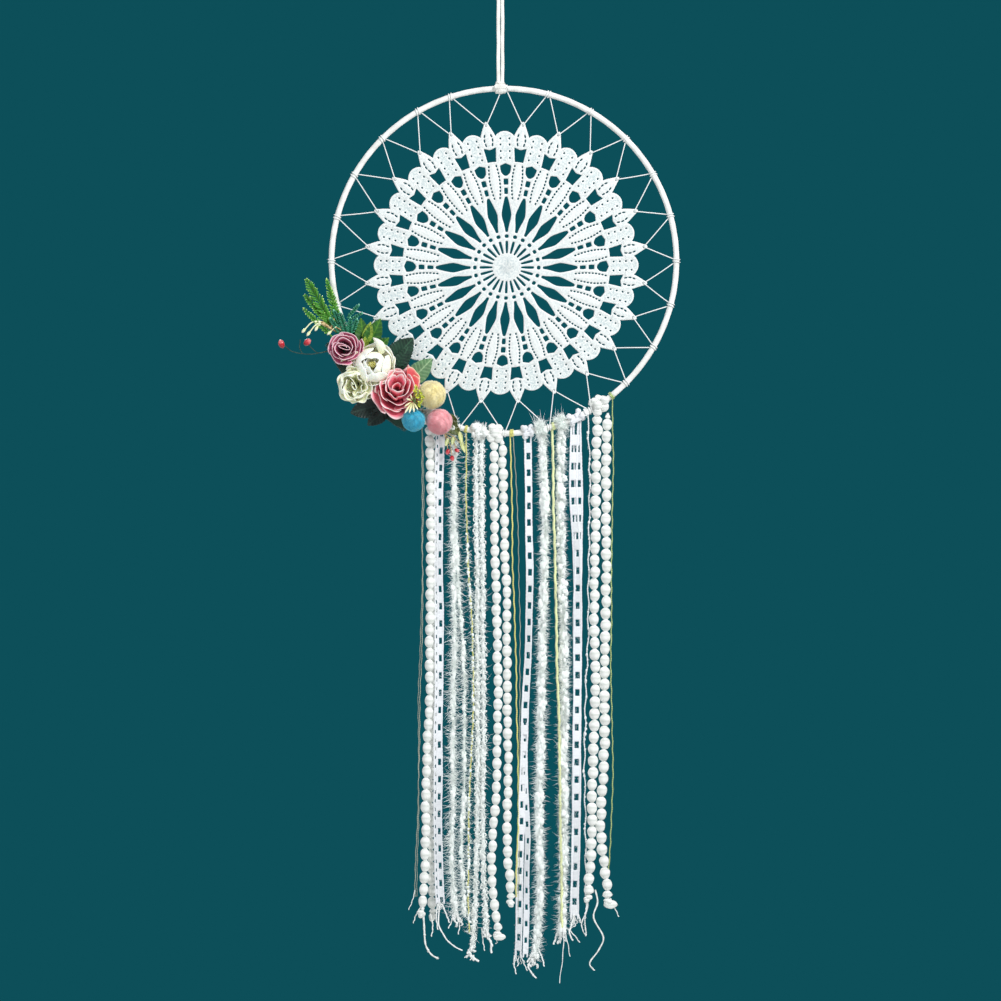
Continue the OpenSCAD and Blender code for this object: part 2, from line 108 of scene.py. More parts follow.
world = bpy.data.worlds.new("studio")
bpy.context.scene.world = world
world.use_nodes = True
wt = world.node_tree
wt.nodes.clear()
w_out = wt.nodes.new("ShaderNodeOutputWorld")
w_mix = wt.nodes.new("ShaderNodeMixShader")
w_ray = wt.nodes.new("ShaderNodeLightPath")
w_soft = wt.nodes.new("ShaderNodeBackground")
w_soft.inputs["Color"].default_value = (0.88, 0.95, 1, 1)
w_soft.inputs["Strength"].default_value = 0.42
w_seen = wt.nodes.new("ShaderNodeBackground")
w_seen.inputs["Color"].default_value = (0.004, 0.078, 0.1, 1)
wt.links.new(w_ray.outputs["Is Camera Ray"], w_mix.inputs[0])
wt.links.new(w_soft.outputs[0], w_mix.inputs[1])
wt.links.new(w_seen.outputs[0], w_mix.inputs[2])
wt.links.new(w_mix.outputs[0], w_out.inputs["Surface"])


# ---- Materials ----

def linear(r, g, b):
    return tuple(((c / 255 + 0.055) / 1.055) ** 2.4 if c > 10 else c / 255 / 12.92
                 for c in (r, g, b)) + (1,)


def shades(*colours):
    return [linear(*c) for c in colours]


class Look:
    """A procedural material round one Principled shader."""

    def __init__(self, name, rough=0.7, **fixed):
        self.mat = bpy.data.materials.new(name)
        self.mat.use_nodes = True
        self.tree = self.mat.node_tree
        self.shader = self.tree.nodes["Principled BSDF"]
        self.place = self.tree.nodes.new("ShaderNodeTexCoord").outputs["Object"]
        for key, value in fixed.items():
            self.shader.inputs[key.replace("_", " ")].default_value = value
        self.rough = rough

    def put(self, socket, value):
        """Links a socket to another one, or sets its value."""
        if hasattr(value, "links"):
            self.tree.links.new(value, socket)
        else:
            socket.default_value = value

    def node(self, kind, out, **settings):
        n = self.tree.nodes.new(kind)
        for key, value in settings.items():
            if key in n.inputs:
                self.put(n.inputs[key], value)
            else:
                setattr(n, key, value)
        return n.outputs[out]

    def noise(self, scale, detail=2.0):
        return self.node("ShaderNodeTexNoise", "Fac", Vector=self.place, Scale=scale, Detail=detail)

    def attr(self, name):
        return self.node("ShaderNodeAttribute", "Fac", attribute_name=name)

    def math(self, op, a, b=0.0):
        n = self.tree.nodes.new("ShaderNodeMath")
        n.operation = op
        self.put(n.inputs[0], a)
        self.put(n.inputs[1], b)
        return n.outputs[0]

    def mul(self, a, b):
        return self.math("MULTIPLY", a, b)

    def add(self, a, b):
        return self.math("ADD", a, b)

    def ridges(self, x, rate):
        """Rounded ridges across x."""
        return self.math("ABSOLUTE", self.math("SINE", self.mul(x, rate)))

    def ramp(self, fac, *stops):
        n = self.tree.nodes.new("ShaderNodeValToRGB")
        self.tree.links.new(fac, n.inputs[0])
        e = n.color_ramp.elements
        while len(e) < len(stops):
            e.new(0.5)
        for el, (at, colour) in zip(e, stops):
            el.position, el.color = at, colour
        return n.outputs["Color"]

    def mix(self, fac, a, b):
        n = self.tree.nodes.new("ShaderNodeMix")
        n.data_type = "RGBA"
        for slot, value in ((0, fac), (6, a), (7, b)):
            self.put(n.inputs[slot], value)
        return n.outputs[2]

    def done(self, colour, height, depth, rough_by=None, span=0.15):
        """Colour, a bump of that depth in millimetres, and roughness that varies."""
        link = self.tree.links.new
        link(colour, self.shader.inputs["Base Color"])
        bump = self.node("ShaderNodeBump", "Normal", Height=height, Strength=1.0, Distance=depth * MM)
        link(bump, self.shader.inputs["Normal"])
        by = rough_by if rough_by is not None else height
        link(self.add(self.mul(by, span), self.rough - span / 2), self.shader.inputs["Roughness"])
        return self.mat


def suede(name, light, dark):
    light, dark = shades(light, dark)
    k = Look(name, 0.85, Sheen_Weight=0.35, Sheen_Roughness=0.5)
    nap = k.noise(1400, 3)
    broad = k.noise(160, 2)
    colour = k.mix(k.mul(nap, 0.45), k.ramp(broad, (0.3, dark), (0.65, light)), light)
    return k.done(colour, nap, 0.12)


def cotton(name, light, dark, sheen=0.25, twist=1.9, depth=0.14):
    """Spun thread: slanting plies along the piece, with painted shade in the grooves between them and a little random
    darkening in patches.
    """
    light, dark = shades(light, dark)
    k = Look(name, 0.8, Sheen_Weight=sheen, Sheen_Roughness=0.45)
    along = k.attr("along")
    ply = k.ridges(k.add(along, k.mul(k.noise(420, 2), 0.9)), TAU / twist / 2)
    fibre = k.noise(2300, 3)
    height = k.add(k.mul(ply, 0.6), k.mul(fibre, 0.5))
    # painted shade: the grooves between the plies take the dark colour, the ply crests the light one
    colour = k.mix(ply, dark, light)
    colour = k.mix(k.mul(k.noise(90, 2), 0.35), colour, dark)
    return k.done(colour, height, depth)


def hair(name, light, dark):
    light, dark = shades(light, dark)
    k = Look(name, 0.65, Sheen_Weight=0.2)
    tone = k.attr("tone")
    fine = k.noise(900, 2)
    # painted shade: towards the roots, where the tone is low, the hair is mottled with the dark colour; the tips are
    # light
    return k.done(k.mix(tone, k.ramp(fine, (0.3, dark), (0.6, light)), light), fine, 0.05)


def lace_look():
    """Satin stitch: rows of thread across the work, closer and finer on the ribs."""
    k = Look("lace", 0.7, Sheen_Weight=0.3, Sheen_Roughness=0.4)
    rows = k.attr("along")
    wob = k.mul(k.noise(500, 2), 0.7)
    stitch = k.ridges(k.add(rows, wob), TAU / 1.5)
    fibre = k.noise(2600, 3)
    height = k.add(k.mul(stitch, 0.6), k.mul(fibre, 0.4))
    tone = k.attr("tone")
    # painted shade: the grooves between stitch rows are greyer than the stitch crests
    colour = k.mix(k.mul(stitch, 0.8), linear(226, 232, 232), linear(253, 254, 252))
    # painted shade and highlight: where the tone is low, in the sunk panel and away from the edges, the lace turns a
    # mottled grey-blue; rounded edges and crests stay white
    colour = k.mix(tone, k.ramp(k.noise(800, 2), (0.38, linear(158, 184, 190)), (0.62, linear(234, 240, 236))),
                   colour)
    colour = k.mix(k.mul(k.noise(60, 2), 0.3), colour, linear(232, 226, 222))
    return k.done(colour, height, 0.16)


def metallic_thread(name, bright, dull, dark):
    bright, dull, dark = shades(bright, dull, dark)
    k = Look(name, 0.38, Metallic=0.45)
    along = k.attr("along")
    glint = k.ridges(along, TAU / 1.6)
    patch = k.noise(45, 3)
    colour = k.mix(glint, k.ramp(patch, (0.35, dark), (0.6, dull)), bright)
    return k.done(colour, glint, 0.08, k.noise(700, 2), 0.25)


def petal(name, deep, mid, edge, extra=None):
    """Cloth petal: dark at its foot with painted shade deep in the bloom, pale at its edge, with faint veins."""
    deep, mid, edge = shades(deep, mid, edge)
    k = Look(name, 0.62, Sheen_Weight=0.3, Sheen_Roughness=0.4, Subsurface_Weight=0.08,
             Subsurface_Scale=0.002)
    tone = k.attr("tone")
    vein = k.ridges(k.attr("along"), 26)
    soft = k.noise(260, 3)
    fac = k.add(tone, k.mul(k.math("SUBTRACT", soft, 0.5), 0.28))
    # painted shade: low tone at a petal's foot takes the deep colour
    colour = k.ramp(fac, (0.08, deep), (0.5, mid), (0.93, edge))
    colour = k.mix(k.mul(vein, 0.1), colour, mid)
    if extra:
        colour = k.mix(k.mul(k.ramp(k.noise(70, 2), (0.5, (0, 0, 0, 1)),
                       (0.75, (1, 1, 1, 1))), 0.5), colour, linear(*extra))
    weave = k.noise(3200, 1)
    return k.done(colour, k.add(k.mul(vein, 0.4), k.mul(weave, 0.6)), 0.07)


def leafy(name, dark, mid, vein, speck=0.2):
    dark, mid, vein = shades(dark, mid, vein)
    k = Look(name, 0.5, Specular_IOR_Level=0.4)
    tone = k.attr("tone")
    patch = k.noise(130, 4)
    base = k.ramp(patch, (0.32, dark), (0.66, mid))
    fine = k.noise(1500, 2)
    colour = k.mix(k.mul(tone, 0.75), base, vein)
    colour = k.mix(k.mul(fine, speck), colour, vein)
    return k.done(colour, k.add(k.mul(tone, 0.5), fine), 0.1)


def velvet(name, deep, mid, light):
    """Pom-pom pile: each fibre pales towards its tip, its darker root being painted shade deep in the pile."""
    deep, mid, light = shades(deep, mid, light)
    k = Look(name, 0.85, Sheen_Weight=0.6, Sheen_Roughness=0.5)
    tone = k.attr("tone")
    patch = k.noise(170, 3)
    # painted shade: low tone at the fibre roots and on the core ball takes the deep colour
    colour = k.mix(tone, deep, k.ramp(patch, (0.3, mid), (0.7, light)))
    return k.done(colour, k.noise(1800, 2), 0.1)


def shiny(name, deep, mid, light, rough=0.22):
    deep, mid, light = shades(deep, mid, light)
    k = Look(name, rough, Coat_Weight=0.4, Coat_Roughness=0.15)
    patch = k.noise(320, 3)
    colour = k.ramp(k.add(k.mul(k.attr("tone"), 0.7),
                           k.mul(patch, 0.3)), (0.15, deep), (0.5, mid), (0.9, light))
    return k.done(colour, k.noise(900, 2), 0.03)


def rough_bark(name, dark, light):
    dark, light = shades(dark, light)
    k = Look(name, 0.8)
    grain = k.noise(650, 4)
    return k.done(k.ramp(grain, (0.35, dark), (0.65, light)), grain, 0.15)


def steel():
    k = Look("steel", 0.35, Metallic=1.0)
    scratch = k.noise(1200, 3)
    return k.done(k.ramp(scratch, (0.3, linear(150, 152, 155)), (0.7, linear(205, 206, 208))), scratch, 0.02)


def plaster():
    k = Look("floor", 0.9)
    grain = k.noise(7, 4)
    return k.done(k.ramp(grain, (0.3, linear(220, 220, 217)), (0.7, linear(223, 223, 220))), grain, 0.1)


SUEDE = suede("suede", (242, 241, 236), (214, 210, 202))
SUEDE_WRAP = suede("suede_wrap", (246, 246, 243), (218, 217, 212))
LACE = lace_look()
THREAD = cotton("white_thread", (248, 248, 245), (232, 236, 236))
BALLS = cotton("ball_cotton", (250, 250, 247), (214, 218, 212), 0.4, 5.3, 0.1)
TAPE = cotton("tape", (250, 250, 252), (212, 216, 222), 0.3, 1.1, 0.12)
MINT = cotton("mint_yarn", (250, 254, 250), (206, 222, 214), 0.3)
MINT_HAIR = hair("mint_hair", (253, 255, 253), (222, 242, 234))
WHITE_HAIR = hair("white_hair", (252, 252, 250), (214, 220, 218))
BOUCLE = cotton("boucle", (254, 255, 253), (228, 236, 232), 0.4, 2.6, 0.2)
GOLD = metallic_thread("gold_thread", (246, 240, 150), (206, 200, 92), (104, 104, 46))
DULL = metallic_thread("dull_thread", (196, 200, 182), (120, 128, 112), (60, 70, 62))
LIME = metallic_thread("lime_thread", (250, 252, 214), (222, 232, 120), (140, 150, 50))
SAGE = metallic_thread("sage_thread", (206, 222, 150), (126, 152, 84), (64, 88, 48))


# ---- Shapes ----

def unit(v):
    v = np.asarray(v, float)
    return v / np.maximum(np.linalg.norm(v, axis=-1, keepdims=True), 1e-9)


def dice(name, times=1, plus=0):
    """Random numbers of a piece's own."""
    return np.random.default_rng(sum(map(ord, name)) * times + plus)


class Shape:
    """Vertices in millimetres and faces, with a tone and a length per vertex."""

    def __init__(self):
        self.v, self.f, self.tone, self.along, self.n = [], [], [], [], 0

    def add(self, v, faces, tone=0.0, along=0.0):
        v = np.asarray(v, float).reshape(-1, 3)
        for f in faces:
            if len(f):
                self.f.append(np.asarray(f, int) + self.n)
        self.v.append(v)
        self.tone.append(np.broadcast_to(np.asarray(tone, float), (len(v),)))
        self.along.append(np.broadcast_to(np.asarray(along, float), (len(v),)))
        self.n += len(v)
        return self


def make(name, shape, mat, body="hoop"):
    me = bpy.data.meshes.new(name)
    v = np.concatenate(shape.v) * MM
    loops = np.concatenate([f.ravel() for f in shape.f]).astype(np.int32)
    sizes = np.concatenate([np.full(len(f), f.shape[1]) for f in shape.f])
    me.vertices.add(len(v))
    me.vertices.foreach_set("co", v.astype(np.float32).ravel())
    me.loops.add(len(loops))
    me.loops.foreach_set("vertex_index", loops)
    me.polygons.add(len(sizes))
    me.polygons.foreach_set("loop_start", (np.cumsum(sizes) - sizes).astype(np.int32))
    me.update(calc_edges=True)
    me.validate()
    for key, values in (("tone", shape.tone), ("along", shape.along)):
        at = me.attributes.new(key, "FLOAT", "POINT")
        at.data.foreach_set("value", np.concatenate(values).astype(np.float32))
    me.shade_smooth()
    me.materials.append(mat)
    ob = bpy.data.objects.new(name, me)
    bpy.context.collection.objects.link(ob)
    if body:
        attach(ob, body)
    return ob


def put_for(node, ending, shape, mat, body="hoop"):
    """Makes the piece that takes a CAD node's place."""
    ob = make(f"{node}_{ending}", shape, mat, body)
    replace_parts(ob, node)
    return ob


def weld(ob):
    """Joins the vertices that lie within 0.02 mm and turns the faces outward."""
    bm = bmesh.new()
    bm.from_mesh(ob.data)
    bmesh.ops.remove_doubles(bm, verts=bm.verts, dist=0.00002)
    bmesh.ops.recalc_face_normals(bm, faces=bm.faces)
    bm.to_mesh(ob.data)
    bm.free()


def thicken(ob, mm):
    mod = ob.modifiers.new("thick", "SOLIDIFY")
    mod.thickness, mod.offset = mm * MM, 0
    return ob


def frames(path, closed=False):
    """A path's points and two cross directions along it, free of twist."""
    p = np.asarray(path, float)
    t = unit(np.roll(p, -1, 0) - np.roll(p, 1, 0)) if closed else unit(np.gradient(p, axis=0))
    a = np.empty_like(t)
    cur = np.array([1.0, 0, 0]) if abs(t[0][0]) < 0.9 else np.array([0, 1.0, 0])
    for i, ti in enumerate(t):
        cur = cur - ti * (ti @ cur)
        cur = cur / max(np.linalg.norm(cur), 1e-9)
        a[i] = cur
    return p, a, np.cross(t, a)


def lengths(p):
    return np.concatenate([[0], np.cumsum(np.linalg.norm(np.diff(p, axis=0), axis=1))])


def points_at(s, where, path):
    """Points of a path (or values along it) at given lengths."""
    return np.stack([np.interp(where, s, path[:, k]) for k in range(3)], -1)


def cells(rows, cols, wrap=True, loop=False):
    """Quads over rows of points; wrap closes each row, loop joins the last row
    to the first."""
    i = np.arange(rows if loop else rows - 1)[:, None]
    j = np.arange(cols if wrap else cols - 1)[None, :]
    i2, j2 = (i + 1) % rows, (j + 1) % cols
    return np.stack([i * cols + j, i2 * cols + j, i2 * cols + j2, i * cols + j2], -1).reshape(-1, 4)


def cap(tip, first, count):
    """Triangles from a tip to the row of points that starts at first."""
    j = np.arange(count)
    return np.stack([np.full(count, tip), first + j, first + (j + 1) % count], 1)


TURNED = [0, 3, 2, 1]


def tube(shape, path, r, sides=8, closed=False, tone=0.0):
    """A tube along a path; r is one radius, one per point, or one per point and side."""
    p, a, b = frames(path, closed)
    n = len(p)
    r = np.asarray(r, float)
    r = np.broadcast_to(r[:, None] if r.ndim == 1 else r, (n, sides))
    ang = np.linspace(0, TAU, sides, endpoint=False)[None, :]
    ring = p[:, None] + (r * np.cos(ang))[..., None] * a[:, None] + (r * np.sin(ang))[..., None] * b[:, None]
    quads = cells(n, sides, loop=closed)[:, ::-1]
    v = ring.reshape(-1, 3)
    along = np.repeat(lengths(p), sides)
    tone = np.broadcast_to(tone, (n,)).repeat(sides)
    if closed:
        return shape.add(v, [quads], tone, along)
    ends = [cap(n * sides, 0, sides), cap(n * sides + 1, (n - 1) * sides, sides)[:, [0, 2, 1]]]
    v = np.concatenate([v, p[:1], p[-1:]])
    return shape.add(v, [quads] + ends, np.concatenate([tone, tone[:1], tone[-1:]]),
                     np.concatenate([along, [0], along[-1:]]))


def hairs(shape, root, way, length, r, bend, rng, tone=(0.0, 1.0)):
    """Thin three-sided strands that bend to one side and end in a point."""
    n, steps, sides = len(root), 3, 3
    d = unit(way)
    side = unit(np.cross(d, rng.normal(size=(n, 3))))
    up = np.cross(side, d)
    length = np.broadcast_to(length, (n,))[:, None]
    bend = np.broadcast_to(bend, (n,))[:, None]
    rows, tones = [], []
    for k in range(steps):
        s = k / steps
        c = root + d * length * s + up * length * bend * s * s
        w = r * (1 - 0.35 * s)
        for q in range(sides):
            rows.append(c + w * (math.cos(TAU * q / sides) * side + math.sin(TAU * q / sides) * up))
            tones.append(tone[0] + (tone[1] - tone[0]) * s)
    rows.append(root + d * length + up * length * bend)
    tones.append(tone[1])
    v = np.stack(rows, 1)
    m = v.shape[1]
    quads = cells(steps, sides)[:, TURNED]
    tris = cap(m - 1, (steps - 1) * sides, sides)[:, [1, 2, 0]]
    base = (np.arange(n) * m)[:, None, None]
    return shape.add(v, [(base + quads).reshape(-1, 4), (base + tris).reshape(-1, 3)], np.tile(tones, n))


def ball(shape, centre, r, rng, wide=14, high=9, lump=0.1, tone=0.5, ways=None):
    """A lumpy ellipsoid; tone is one or from bottom to top, ways are its three directions."""
    th = np.linspace(0, math.pi, high + 2)[1:-1]
    ph = np.linspace(0, TAU, wide, endpoint=False)
    d = np.stack([np.outer(np.sin(th), np.cos(ph)), np.outer(np.sin(th), np.sin(ph)),
                  np.outer(np.cos(th), np.ones(wide))], -1).reshape(-1, 3)
    d = np.concatenate([d, [[0, 0, 1], [0, 0, -1]]])
    f = rng.normal(size=(5, 3)) * 3
    k = 1 + lump * np.sin(d @ f.T + rng.uniform(0, TAU, 5)).mean(1) * 2
    v = d * k[:, None] * np.broadcast_to(r, (3,))
    if ways is not None:
        v = v @ np.asarray(ways)
    top = cap(high * wide, 0, wide)
    low = cap(high * wide + 1, (high - 1) * wide, wide)[:, [0, 2, 1]]
    if np.ndim(tone):
        tone = tone[0] + (tone[1] - tone[0]) * (d[:, 2] + 1) / 2
    return shape.add(v + centre, [cells(high, wide), top, low], tone, d[:, 2] * 5)


def on_hoop(a, rho=0.0, phi=0.0):
    """A point rho from the tube's centre line at hoop angle a; phi 0 is outside
    the hoop and a quarter turn is its front."""
    a, rho, phi = np.broadcast_arrays(a, rho, phi)
    u = np.stack([np.cos(a), np.zeros_like(a, float), np.sin(a)], -1)
    return HC + u * (HOOP + rho * np.cos(phi))[..., None] + np.array([0, -1.0, 0]) * (rho * np.sin(phi))[..., None]


def sway(t, amount, rng):
    """A smooth random swing that starts from nothing."""
    out = sum(np.sin(TAU * w * t + rng.uniform(0, TAU)) / (k + 1) for k, w in enumerate((1.3, 2.9, 6.1)))
    return amount * out * np.clip(t * 8, 0, 1) * 0.6


def hang(x, z0, z1, rng, amount, step):
    """A yarn's path straight down at x, with a little sway."""
    t = np.linspace(0, 1, max(int((z0 - z1) / step), 8))
    return np.stack([x + sway(t, amount, rng), sway(t, amount, rng), z0 + (z1 - z0) * t], 1)


# ---- Fringe legs ----

def plied(shape, path, r, pitch, strands=2):
    """Strands twisted round each other along a path."""
    p, a, b = frames(path)
    turn = lengths(p) / pitch * TAU
    for k in range(strands):
        w = (turn + TAU * k / strands)[:, None]
        tube(shape, p + r * 0.5 * (np.cos(w) * a + np.sin(w) * b), r * 0.55, 6)


def beads(shape, path, r, pitch, rng, phase=0.0):
    """One ball after another on a cord: a swelling tube with a neck between balls."""
    s = lengths(path)
    u = s / pitch + phase
    grow = np.clip(s / 5, 0.25, 1) * np.clip((s[-1] - s) / 3, 0.3, 1)
    k = np.floor(u).astype(int)
    size = 1 + rng.uniform(-0.08, 0.06, k.max() + 2)[k]
    f = u - np.floor(u)
    belly = np.clip(1 - ((2 * f - 1) / 0.97) ** 2, 0, 1) ** 0.6 * (1 + 0.05 * np.sin(TAU * f))
    shove = rng.uniform(-0.45, 0.45, (k.max() + 2, 2))[k] * np.sin(math.pi * f)[:, None]
    path = path + np.stack([shove[:, 0], shove[:, 1], 0 * f], 1)
    sides = 16
    ang = np.arange(sides) * TAU / sides
    lump = 1 + 0.045 * np.sin(ang * 3 + k[:, None] * 2.1) + 0.025 * np.sin(ang * 7 + u[:, None] * 9)
    tube(shape, path, ((1.05 + (r - 1.05) * belly) * size * grow)[:, None] * lump, sides)


def ladder(shape, path, w, columns, twist):
    """A woven tape: upright bands, and between them columns of holes, each given
    as place across, width, height, pitch and start."""
    p = np.asarray(path, float)
    s = lengths(p)
    turn = twist(s / s[-1])
    a = np.stack([np.cos(turn), np.sin(turn), np.zeros_like(turn)], -1)
    cuts = [-w / 2] + [v for x, wide, *_ in columns for v in (x - wide / 2, x + wide / 2)] + [w / 2]
    fray = 0.12 * np.sin(s * 1.9) + 0.08 * np.sin(s * 4.3 + 1)
    for c0, c1 in zip(cuts[::2], cuts[1::2]):
        ribbon(shape, p + a * ((c0 + c1) / 2 + fray)[:, None], a, (c1 - c0) / 2 + 0.16, 0.5)
    for x, wide, high, pitch, start in columns:
        at = start
        while at < s[-1] - 2:
            end = min(at + pitch - high, s[-1] - 0.5)
            q = np.linspace(at, end, 9)
            aa = unit(points_at(s, q, a))
            ribbon(shape, points_at(s, q, p) + aa * x, aa, wide / 2 + 0.3, 0.38)
            at += pitch


def ribbon(shape, path, wide, half_w, half_t):
    """A flat band with rounded edges; wide is its cross direction at each point."""
    p = np.asarray(path, float)
    t = unit(np.gradient(p, axis=0))
    a = unit(wide - (t * wide).sum(1, keepdims=True) * t)
    b = np.cross(t, a)
    section = [(-1, 0), (-0.82, -0.8), (-0.4, -1), (0, -0.9), (0.4, -1), (0.82, -0.8),
               (1, 0), (0.82, 0.8), (0.4, 1), (0, 0.9), (-0.4, 1), (-0.82, 0.8)]
    n, m = len(p), len(section)
    half_w = np.broadcast_to(half_w, (n,))[:, None]
    rows = [p + a * half_w * x + b * half_t * y for x, y in section]
    v = np.stack(rows, 1).reshape(-1, 3)
    ends = [np.arange(m)[None, ::-1], (np.arange(m) + (n - 1) * m)[None, :]]
    return shape.add(v, [cells(n, m)[:, TURNED]] + ends, 0.5, np.repeat(lengths(p), m))


def fuzz(shape, path, per_mm, reach, r, rng, droop=0.35, inner=0.6, bend=0.5, clump=0.0):
    """Short hairs all round a path, thicker in clumps."""
    s = lengths(path)
    n = int(s[-1] * per_mm)
    at = rng.uniform(0, s[-1], n)
    if clump:
        keep = rng.uniform(0, 1, n) < 1 - clump * (0.5 + 0.5 * np.sin(at * TAU / 23 + 1.7 * np.sin(at / 31)))
        at = at[keep]
        n = len(at)
    root = points_at(s, at, path)
    ang = rng.uniform(0, TAU, n)
    out = np.stack([np.cos(ang), np.sin(ang), -droop + rng.normal(0, 0.45, n)], 1)
    # the tone from 0.35 at the root to 1 at the tip gives the hairs painted shade at their roots
    hairs(shape, root + unit(out) * inner, out, reach * rng.uniform(0.45, 1.1, n), r,
          rng.uniform(-bend, bend, n), rng, (0.35, 1.0))


def tufts(shape, path, per_mm, size, spread, rng, gaps=0.0):
    """Knots of fibre on a yarn, of uneven size, some stretches with fewer."""
    s = lengths(path)
    at = np.arange(0.5, s[-1] - 0.5, 1 / per_mm)
    at = at + rng.uniform(-0.3, 0.3, len(at))
    thin = 0.5 + 0.5 * np.sin(at * TAU / 31 + 2 * np.sin(at / 17))
    for q, t in zip(at, thin):
        if rng.uniform() < gaps * t:
            continue
        c = points_at(s, q, path)
        ang = rng.uniform(0, TAU)
        off = rng.uniform(0.2, 1) * spread
        r = size * rng.uniform(0.55, 1.15) * (1 - 0.3 * gaps * t)
        ball(shape, c + [off * math.cos(ang), off * math.sin(ang), 0], (r, r, r * rng.uniform(0.9, 1.8)), rng, 7, 5,
             0.3, rng.uniform(0.3, 0.9))


def loops(shape, path, per_mm, size, r, rng):
    """Small closed curls of yarn round a core."""
    s = lengths(path)
    n = int(s[-1] * per_mm)
    at = np.linspace(0.5, s[-1] - 0.5, n)
    root = points_at(s, at, path)
    q = np.linspace(0, TAU, 9, endpoint=False)
    for k in range(n):
        ang = k * 2.4 + rng.uniform(-0.5, 0.5)
        out = np.array([math.cos(ang), math.sin(ang), rng.uniform(-0.35, 0.35)])
        up = unit(np.array([rng.normal(0, 0.4), rng.normal(0, 0.4), 1.0]))
        big = size * rng.uniform(0.75, 1.15)
        c = root[k] + out * big * 0.75
        ring = c + np.outer(np.cos(q), out) * big + np.outer(np.sin(q), up) * big * 0.9
        tube(shape, ring, r, 5, closed=True)


def curl(shape, start, way, length, r, rng, wave, sides=6):
    """A loose kinked end of thread."""
    n = max(int(length / 1.5), 8)
    t = np.linspace(0, 1, n)
    way = unit(np.array(way, float))
    p = start + np.outer(t * length, way)
    p[:, 0] += wave * np.sin(t * TAU * 1.5 + rng.uniform(0, 1)) * t
    p[:, 1] += wave * 0.6 * np.sin(t * TAU * 1.2 + rng.uniform(0, 6)) * t
    tube(shape, p, r * (1 - 0.3 * t), sides)
    return p


# name: (style, legs): each leg is its place across, its depth, its end below the
# hoop's centre, and how far it strays sideways at even steps down its length
LEGS = {
    "gold_thread_left": ("dull", [(-70.2, 0, 544, (0, 0.6, 0.4, -0.2, -1.5, -2.4, -3.6, -6))]),
    "ball_trim_left": ("balls", [(-63.6, 0, 556, (0, 0.3, 0.3, 0.1, 0.1, -2.4, -4, -6.5)),
                                 (-62.4, 9, 560, (0, 1, 1, 1.5, 1.5, 0, -1, 0.5))]),
    "ladder_ribbon_left": ("ladder", [(-54, 0, 550, (0, -2, -2.2, -2, -1.6, -2, -2.4, -0.5))]),
    "slub_yarn": ("slub", [(-42.6, 0, 560, (0, -0.6, 0, 0.4, -0.8, -1.2, -2.6, 1))]),
    "gold_thread_mid": ("gold", [(-32.5, -1.5, 574, (0, 0.7, 3, 5.5, 5.8, 2.6, 2.5, 3))]),
    "boucle_yarn": ("boucle", [(-23.4, 0, 588, (0, -0.6, 0.2, 0.9, 1.2, 1.4, -0.6, -4.1)),
                               (-18.8, 0, 574, (0, -0.4, 0, 1, 1.6, 1.2, 0.8, 2.8))]),
    "ball_trim_mid": ("balls", [(-8.1, -1.6, 574, (0, 0.2, 1, 1.8, 2.6, 1.6, -2, 3)),
                                (-1.8, 1.8, 547, (0, 1.4, 2.8, 4, 5, 5.6, 4.4, 7.4))]),
    "gold_thread_pair": ("gold", [(5.3, -1, 544, (0, 1, 2.6, 4.6, 5.8, 6.4, 6, 5)),
                                  (7.9, 0, 568, (0, 3.2, 4.6, 5.6, 6.2, 6, 5, 4))]),
    "ladder_yarn": ("ladder_small", [(20.4, 0, 596, (0, 0.6, 0.8, 0, -2.6, -5, -7.2, -9))]),
    "eyelash_yarn_inner": ("eyelash", [(33, 0, 596, (0, 1.6, 0.6, -0.5, -1.2, -2.6, -2.2, -7))]),
    "lime_thread": ("lime", [(41.2, -2.6, 570, (0, 1.2, 2.8, 4.4, 5.6, 6, 7.4, 8.2))]),
    "eyelash_yarn_outer": ("eyelash", [(49, 1.0, 576, (0, -0.6, 1, 2.6, 2.6, 1.6, 1.6, 0.6))]),
    "ladder_ribbon_right": ("ladder_wide", [(60.6, -1, 563, (0, -1.6, 1.8, 2.4, 2.4, 1.8, 0.6, -0.6)),
                                            (62.2, 1.4, 557, (0, 1.7, 1.8, 0.6, 0, -0.4, -1, -2))]),
    "thin_boucle": ("thin", [(72, 0.6, 577, (0, 0.9, 0.2, -0.2, -1.8, -3, -2.2, -2.6))]),
    "ball_trim_right": ("balls", [(80, 0, 543, (0, -1.2, -2.8, -3, -2.4, -3, -4.6, -8.2)),
                                  (88.6, 0, 546, (0, -1.2, -1.7, -1.6, -2.4, -2.6, -5.4, 0))]),
    "green_thread": ("sage", [(92.8, -0.5, 526, (0, 0, -0.8, -1, -0.8, 0.4, -0.8, -3.8))]),
}
BALL_PITCH = 10.1
BALL_R = {"ball_trim_left": 3.85, "ball_trim_mid": 3.8, "ball_trim_right": 4.3}
STYLE_MAT = {"gold": GOLD, "dull": DULL, "lime": LIME, "sage": SAGE, "balls": BALLS, "ladder": TAPE,
             "ladder_small": TAPE, "ladder_wide": TAPE, "slub": MINT, "eyelash": MINT, "boucle": BOUCLE,
             "thin": THREAD}
# ribbons: width, columns of holes and how far they twist
HOLES = {"ladder": (7.6, [(-2.3, 1.2, 2.8, 7.4, 6), (1.2, 2.8, 5.4, 14.8, 11)], 0.4),
         "ladder_small": (6.2, [(0.2, 3.6, 5.6, 14.2, 8)], 0.5),
         "ladder_wide": (7.2, [(0, 4.4, 5.8, 14.9, 12)], 0.45)}
FLUFF_MAT = {"boucle": BOUCLE, **dict.fromkeys(HOLES, WHITE_HAIR)}
THREAD_R = {"gold": 0.72, "dull": 0.42, "sage": 0.6, "lime": 1.25}
# between the points of a path, where it isn't 1.6
STEP_DOWN = {**dict.fromkeys((*THREAD_R, "thin"), 0.9), "balls": BALL_PITCH / 16}
